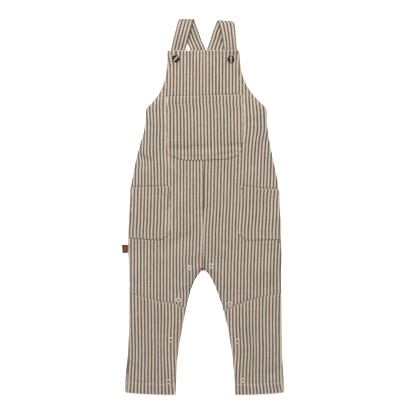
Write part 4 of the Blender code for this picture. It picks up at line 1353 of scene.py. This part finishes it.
def carve(shape, cutter, **settings):
    """Cut one shape out of another, and remove it."""
    apply_new(shape, "BOOLEAN", operation="DIFFERENCE", object=cutter, **settings)
    bpy.data.objects.remove(cutter, do_unlink=True)


def smooth_by_angle(shape, degrees):
    only(shape)
    bpy.ops.object.shade_smooth_by_angle(angle=math.radians(degrees))


def shaped(size, place, turn=(0.0, 0.0, 0.0)):
    """The primitive that was just added: turned, stretched to its size and put in its place."""
    shape = bpy.context.object
    shape.rotation_euler = [math.radians(angle) for angle in turn]
    bpy.ops.object.transform_apply(location=False, rotation=True, scale=False)
    shape.scale = size
    shape.location = Vector(place) * MM
    bpy.ops.object.transform_apply(location=True, rotation=False, scale=True)
    return shape


def turned(name, profile, steps, degrees, finish=None):
    """A round piece from a closed profile of (radius, height), spun about Z."""
    mesh = bpy.data.meshes.new(name)
    outline = [(k, (k + 1) % len(profile)) for k in range(len(profile))]
    mesh.from_pydata([(radius * MM, 0.0, height * MM) for radius, height in profile], outline, [])
    piece = link(name, mesh)
    spin = partial(
        bpy.ops.mesh.spin, steps=steps, angle=math.tau, use_auto_merge=False,
        center=(0.0, 0.0, 0.0), axis=(0.0, 0.0, 1.0),
    )
    merge = partial(bpy.ops.mesh.remove_doubles, threshold=1e-6)
    in_edit(piece, SELECT_ALL, spin, SELECT_ALL, merge, *FACE_OUT[1:])
    smooth_by_angle(piece, degrees)
    if finish:
        piece.data.materials.append(finish)
    return piece


Seat = namedtuple("Seat", "place tilt")


def seat_on(panel, x, y, radius):
    """Where a small flat thing lies on a panel: just clear of it and square to it."""
    tree = surface_tree(panel)
    samples = []
    for ring in range(4):
        for k in range(16):
            turn = math.tau * k / 16
            away = (math.cos(turn) * radius * ring / 3, math.sin(turn) * radius * ring / 3)
            samples.append((*away, height_on(tree, x + away[0], y + away[1])))
    ax, ay, z = np.array(samples).T
    slope_x, slope_y = (ax * z).sum() / (ax ** 2).sum(), (ay * z).sum() / (ay ** 2).sum()
    proud = (z - z.mean() - slope_x * ax - slope_y * ay).max()
    facing = Vector((-slope_x, -slope_y, 1.0)).normalized()
    tilt = Vector((0.0, 0.0, 1.0)).rotation_difference(facing)
    return Seat(Vector((x, y, z.mean() + proud * 0.7)) * MM, tilt)


def settle(shape, seat, degrees=0.0):
    """Turn a piece, tilt it to its seat, move it there and apply the transform."""
    only(shape)
    turn = Matrix.Rotation(math.radians(degrees), 3, "Z").to_quaternion()
    shape.rotation_mode = "QUATERNION"
    shape.rotation_quaternion = seat.tilt @ turn
    shape.location = seat.place
    bpy.ops.object.transform_apply(location=True, rotation=True, scale=True)


def build_lashing(button):
    """The thread that lies in a button's groove, as joined strands."""
    rows = []
    # Four strands lie side by side along the groove, and the last turns cross over them.
    for aside, lean, lift in (
        (-0.84, -3.0, 0.06), (-0.28, 2.0, 0.18), (0.3, -2.0, 0.06), (0.86, 3.0, 0.18),
    ):
        size = (button.reach - 0.8 * abs(aside), 0.38, 0.42)
        rows.append(((0.0, 90.0, lean), size, (button.middle, aside, BUTTON_DISH + lift)))
    if button.crossed:
        level = 0.95 * BUTTON_HEIGHT + 0.16
        for along in (0.9, 1.7):
            rows.append(((90.0, 0.0, 6.0), (0.38, 2.5, 0.36), (along, 0.0, level)))
    strands = []
    for turn, size, place in rows:
        bpy.ops.mesh.primitive_uv_sphere_add(segments=10, ring_count=12, radius=MM)
        strands.append(shaped(size, place, turn))
    only(strands[0])
    for strand in strands:
        strand.select_set(True)
    bpy.ops.object.join()
    strands[0].data.shade_smooth()
    return strands[0]


def build_button(side, panel, finish):
    """A dished button with a fish-eye groove, and the thread that lies in the groove."""
    button = BUTTONS[side]
    seat = seat_on(panel, button.x, button.y, BUTTON_RADIUS)
    r, h = BUTTON_RADIUS, BUTTON_HEIGHT
    disc = turned(f"button_{side}.disc", [
        (0.01, 0.0), (0.8 * r, 0.0), (0.9 * r, 0.06 * h), (0.97 * r, 0.25 * h), (r, 0.5 * h),
        (0.98 * r, 0.74 * h), (0.93 * r, 0.92 * h), (0.87 * r, h), (0.8 * r, 0.99 * h),
        (0.72 * r, 0.93 * h), (0.6 * r, 0.88 * h), (0.01, BUTTON_DISH),
    ], 56, 42.0, finish["horn"])
    bpy.ops.mesh.primitive_uv_sphere_add(segments=40, ring_count=20, radius=MM)
    groove = shaped((6.9, 1.9, 1.7), (0.0, 0.0, BUTTON_DISH + 0.95))
    groove.data.materials.append(finish["bare horn"])
    carve(disc, groove, material_mode="TRANSFER")
    smooth_by_angle(disc, 42.0)
    lashing = build_lashing(button)
    lashing.name = lashing.data.name = f"button_{side}.thread"
    lashing.data.materials.append(finish["thread"])
    for piece in (disc, lashing):
        settle(piece, seat, button.angle)
    return disc, lashing


def snap_models(enamel):
    """The open ring of a snap and the socket seen through it, to be copied."""
    r, hole, h = SNAP_RADIUS, SNAP_HOLE, SNAP_HEIGHT
    ring = turned("snap.ring", [
        (hole, 0.12 * h), (hole + 0.1, 0.0), (r - 0.25, 0.0), (r, 0.25 * h), (r - 0.06, 0.6 * h),
        (r - 0.3, 0.88 * h), (r - 0.75, h), (hole + 0.62, h), (hole + 0.22, 0.84 * h),
        (hole, 0.5 * h),
    ], 40, 50.0, enamel)
    cup = turned("snap.socket", [
        (0.01, 0.06), (hole + 0.05, 0.06), (hole + 0.05, 0.3), (hole - 0.3, 0.34), (1.5, 0.22),
        (1.2, 0.34), (0.7, 0.4), (0.01, 0.36),
    ], 32, 40.0)
    return {"ring": ring, "socket": cup}


def copy_of(model, name):
    """A copy of a model piece with its own mesh."""
    piece = model.copy()
    piece.data = model.data.copy()
    piece.name = piece.data.name = name
    bpy.context.scene.collection.objects.link(piece)
    return piece


def build_tab(finish):
    """A strip of leather folded in two, its fold outward and its ends in the side seam."""
    (right, top), (left, _), (low_left, bottom), (_, low_right) = TAB_CORNERS
    middle = Vector(((left + right) / 2, (top + bottom) / 2, TAB_FLOOR + TAB_THICK / 2))
    width, length = right - left, top - bottom
    bpy.ops.mesh.primitive_cube_add(size=MM)
    tab = shaped((width, length, TAB_THICK), middle)
    tab.name = tab.data.name = "side_tab.leather"
    # Its lower end is a little narrower and runs down to the fold.
    for vert in tab.data.vertices:
        if vert.co.y < middle.y * MM:
            inner = vert.co.x > middle.x * MM
            vert.co.x = (right if inner else low_left) * MM
            vert.co.y = (low_right if inner else bottom) * MM
    bpy.ops.mesh.primitive_cube_add(size=MM)
    carve(tab, shaped((width, length + 2.0, TAB_SLIT), middle + Vector((2.2, 0.0, 0.0))))
    apply_new(tab, "BEVEL", width=0.4 * MM, segments=3)
    smooth_by_angle(tab, 40.0)
    # Inside a burnished rim the face of the leather is left as it was tanned.
    in_edit(tab, partial(bpy.ops.mesh.select_all, action="DESELECT"))
    for face in tab.data.polygons:
        face.material_index = 1
        face.select = face.normal.z > 0.99 and face.center.z > (TAB_FLOOR + TAB_THICK - 0.1) * MM
    in_edit(tab, partial(bpy.ops.mesh.inset, thickness=TAB_RIM * MM, depth=0.0))
    for face in tab.data.polygons:
        if face.select:
            face.material_index = 0
    tab.data.materials.append(finish["leather"])
    tab.data.materials.append(finish["burnished"])
    return tab


# ------------------------------------------------------------------ floor, camera and light

CAMERA_PLACE = (7.92, -2.43, 2085.0)
LAMP_PLACE = (-400.0, 1950.0, 2100.0)
LAMP_AIM = (0.4, -1.9, -2.1)


def build_stage():
    """A pale floor, a camera straight above and soft daylight from beyond the straps."""
    bpy.ops.mesh.primitive_plane_add(size=6.0, location=(0.0, 0.0, -0.2 * MM))
    floor = bpy.context.object
    floor.name = "floor"
    white = linear("#ffffff")
    glow = {"Base Color": white, "Emission Color": white, "Emission Strength": 0.45}
    floor.data.materials.append(new_finish("white paper", 0.9, **glow)[0])
    floor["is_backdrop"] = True

    bpy.ops.object.camera_add(location=Vector(CAMERA_PLACE) * MM)
    camera = bpy.context.object
    camera.data.lens = 100.0
    camera.data.sensor_width = 36.0
    bpy.context.scene.camera = camera

    world = bpy.data.worlds.new("soft room")
    world.use_nodes = True
    sky = world.node_tree.nodes["Background"]
    sky.inputs["Color"].default_value = linear("#f4f7ff")
    sky.inputs["Strength"].default_value = 0.62
    bpy.context.scene.world = world

    bpy.ops.object.light_add(type="AREA", location=Vector(LAMP_PLACE) * MM)
    lamp = bpy.context.object
    lamp.data.size = 1.15
    lamp.data.energy = 67.5
    lamp.data.color = linear("#fffaf2")[:3]
    lamp.rotation_euler = Vector(LAMP_AIM).to_track_quat("-Z", "Y").to_euler()
    lamp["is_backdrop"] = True
    bpy.context.scene.view_settings.view_transform = "Standard"


# ------------------------------------------------------------------ everything together

# The flat size of each cloth piece in metres, and what it lies on.
Cut = namedtuple("Cut", "width length area rests_on")


def fit(piece, stands_for=None):
    """Attach a piece to the body it rides on, and hide the solid it stands for."""
    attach(piece, BODY)
    if stands_for:
        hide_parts(stands_for)


def build_cloth(thread):
    """The cloth pieces by name, and the stitching on each."""
    panels, sewn = {}, {}
    for side in SIDES:
        for part in ("front", "shin"):
            panels[f"{part}_{side}"] = build_front(side, part)
        panels[f"back_{side}"] = build_back(side)
    for name in POCKETS:
        panels[name] = build_pocket(name)
    straps = {}
    for side in SIDES:
        panels[f"strap_{side}"], *straps[side] = build_strap(side)

    # The plackets' rows, the side seams and the folds show no thread of their own.
    for number, side in enumerate(SIDES):
        for part in ("front", "shin"):
            name = f"{part}_{side}"
            covers = [pocket_outline(pocket) for pocket in POCKETS] if part == "front" else []
            lines = [
                row.line for key, row in front_seams(side, part).items()
                if row.depth > 0.0 and key != "placket"
            ]
            stitches = panel_stitches(panels[name], lines, covers, 100 + number)
            sewn[name] = sew(f"{name}.stitching", stitches, thread)
    for number, name in enumerate(POCKETS):
        lines = [row.line for row in pocket_seams(name)]
        stitches = panel_stitches(panels[name], lines, [], 200 + number)
        sewn[name] = sew(f"{name}.stitching", stitches, thread)
    for number, side in enumerate(SIDES):
        name = f"strap_{side}"
        sewn[name] = sew(f"{name}.stitching", strap_stitches(*straps[side], 300 + number), thread)
    return panels, sewn


def fit_cloth(panels, sewn, cotton, finish):
    """Finish the cloth pieces with their cotton and their bartacks, name them and attach them."""
    bars = {}
    for bar in BARTACKS:
        bars.setdefault((bar.panel, bar.thread), []).extend(bar_stitches(panels[bar.panel], bar))
    for name, panel in panels.items():
        panel.name = f"{name}.cloth"
        panel.data.materials.append(cotton)
        fit(panel, name)
        with_pieces = [sewn[name]] if name in sewn else []
        for (panel_name, word), stitches in bars.items():
            if panel_name == name:
                with_pieces.append(sew(f"{name}.{word}_bartacks", stitches, finish[word]))
        for piece in with_pieces:
            fit(piece)


def fit_trim(panels, finish):
    """The buttons, the snaps and the tab."""
    for side in SIDES:
        disc, lashing = build_button(side, panels[f"front_{side}"], finish)
        fit(disc, f"button_{side}")
        fit(lashing)

    models = snap_models(finish["enamel"])
    for side in SIDES:
        for number, snap in enumerate(SNAPS[side], start=1):
            name = f"snap_{side}_{number}"
            seat = seat_on(panels[snap.panel], snap.x, snap.y, SNAP_RADIUS)
            ring, cup = (copy_of(model, f"{name}.{word}") for word, model in models.items())
            cup.data.materials.append(finish[snap.socket])
            for piece in (ring, cup):
                settle(piece, seat)
            fit(ring, name)
            fit(cup)
    for model in models.values():
        bpy.data.objects.remove(model, do_unlink=True)
    fit(build_tab(finish), "side_tab")


def main():
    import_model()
    cad_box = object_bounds()
    build_stage()
    cotton = striped_cotton()
    finish = {word: mottled(kind) for word, kind in FINISHES.items()}
    panels, sewn = build_cloth(finish["thread"])
    fit_cloth(panels, sewn, cotton, finish)
    fit_trim(panels, finish)
    return cad_box


cad_box = main()
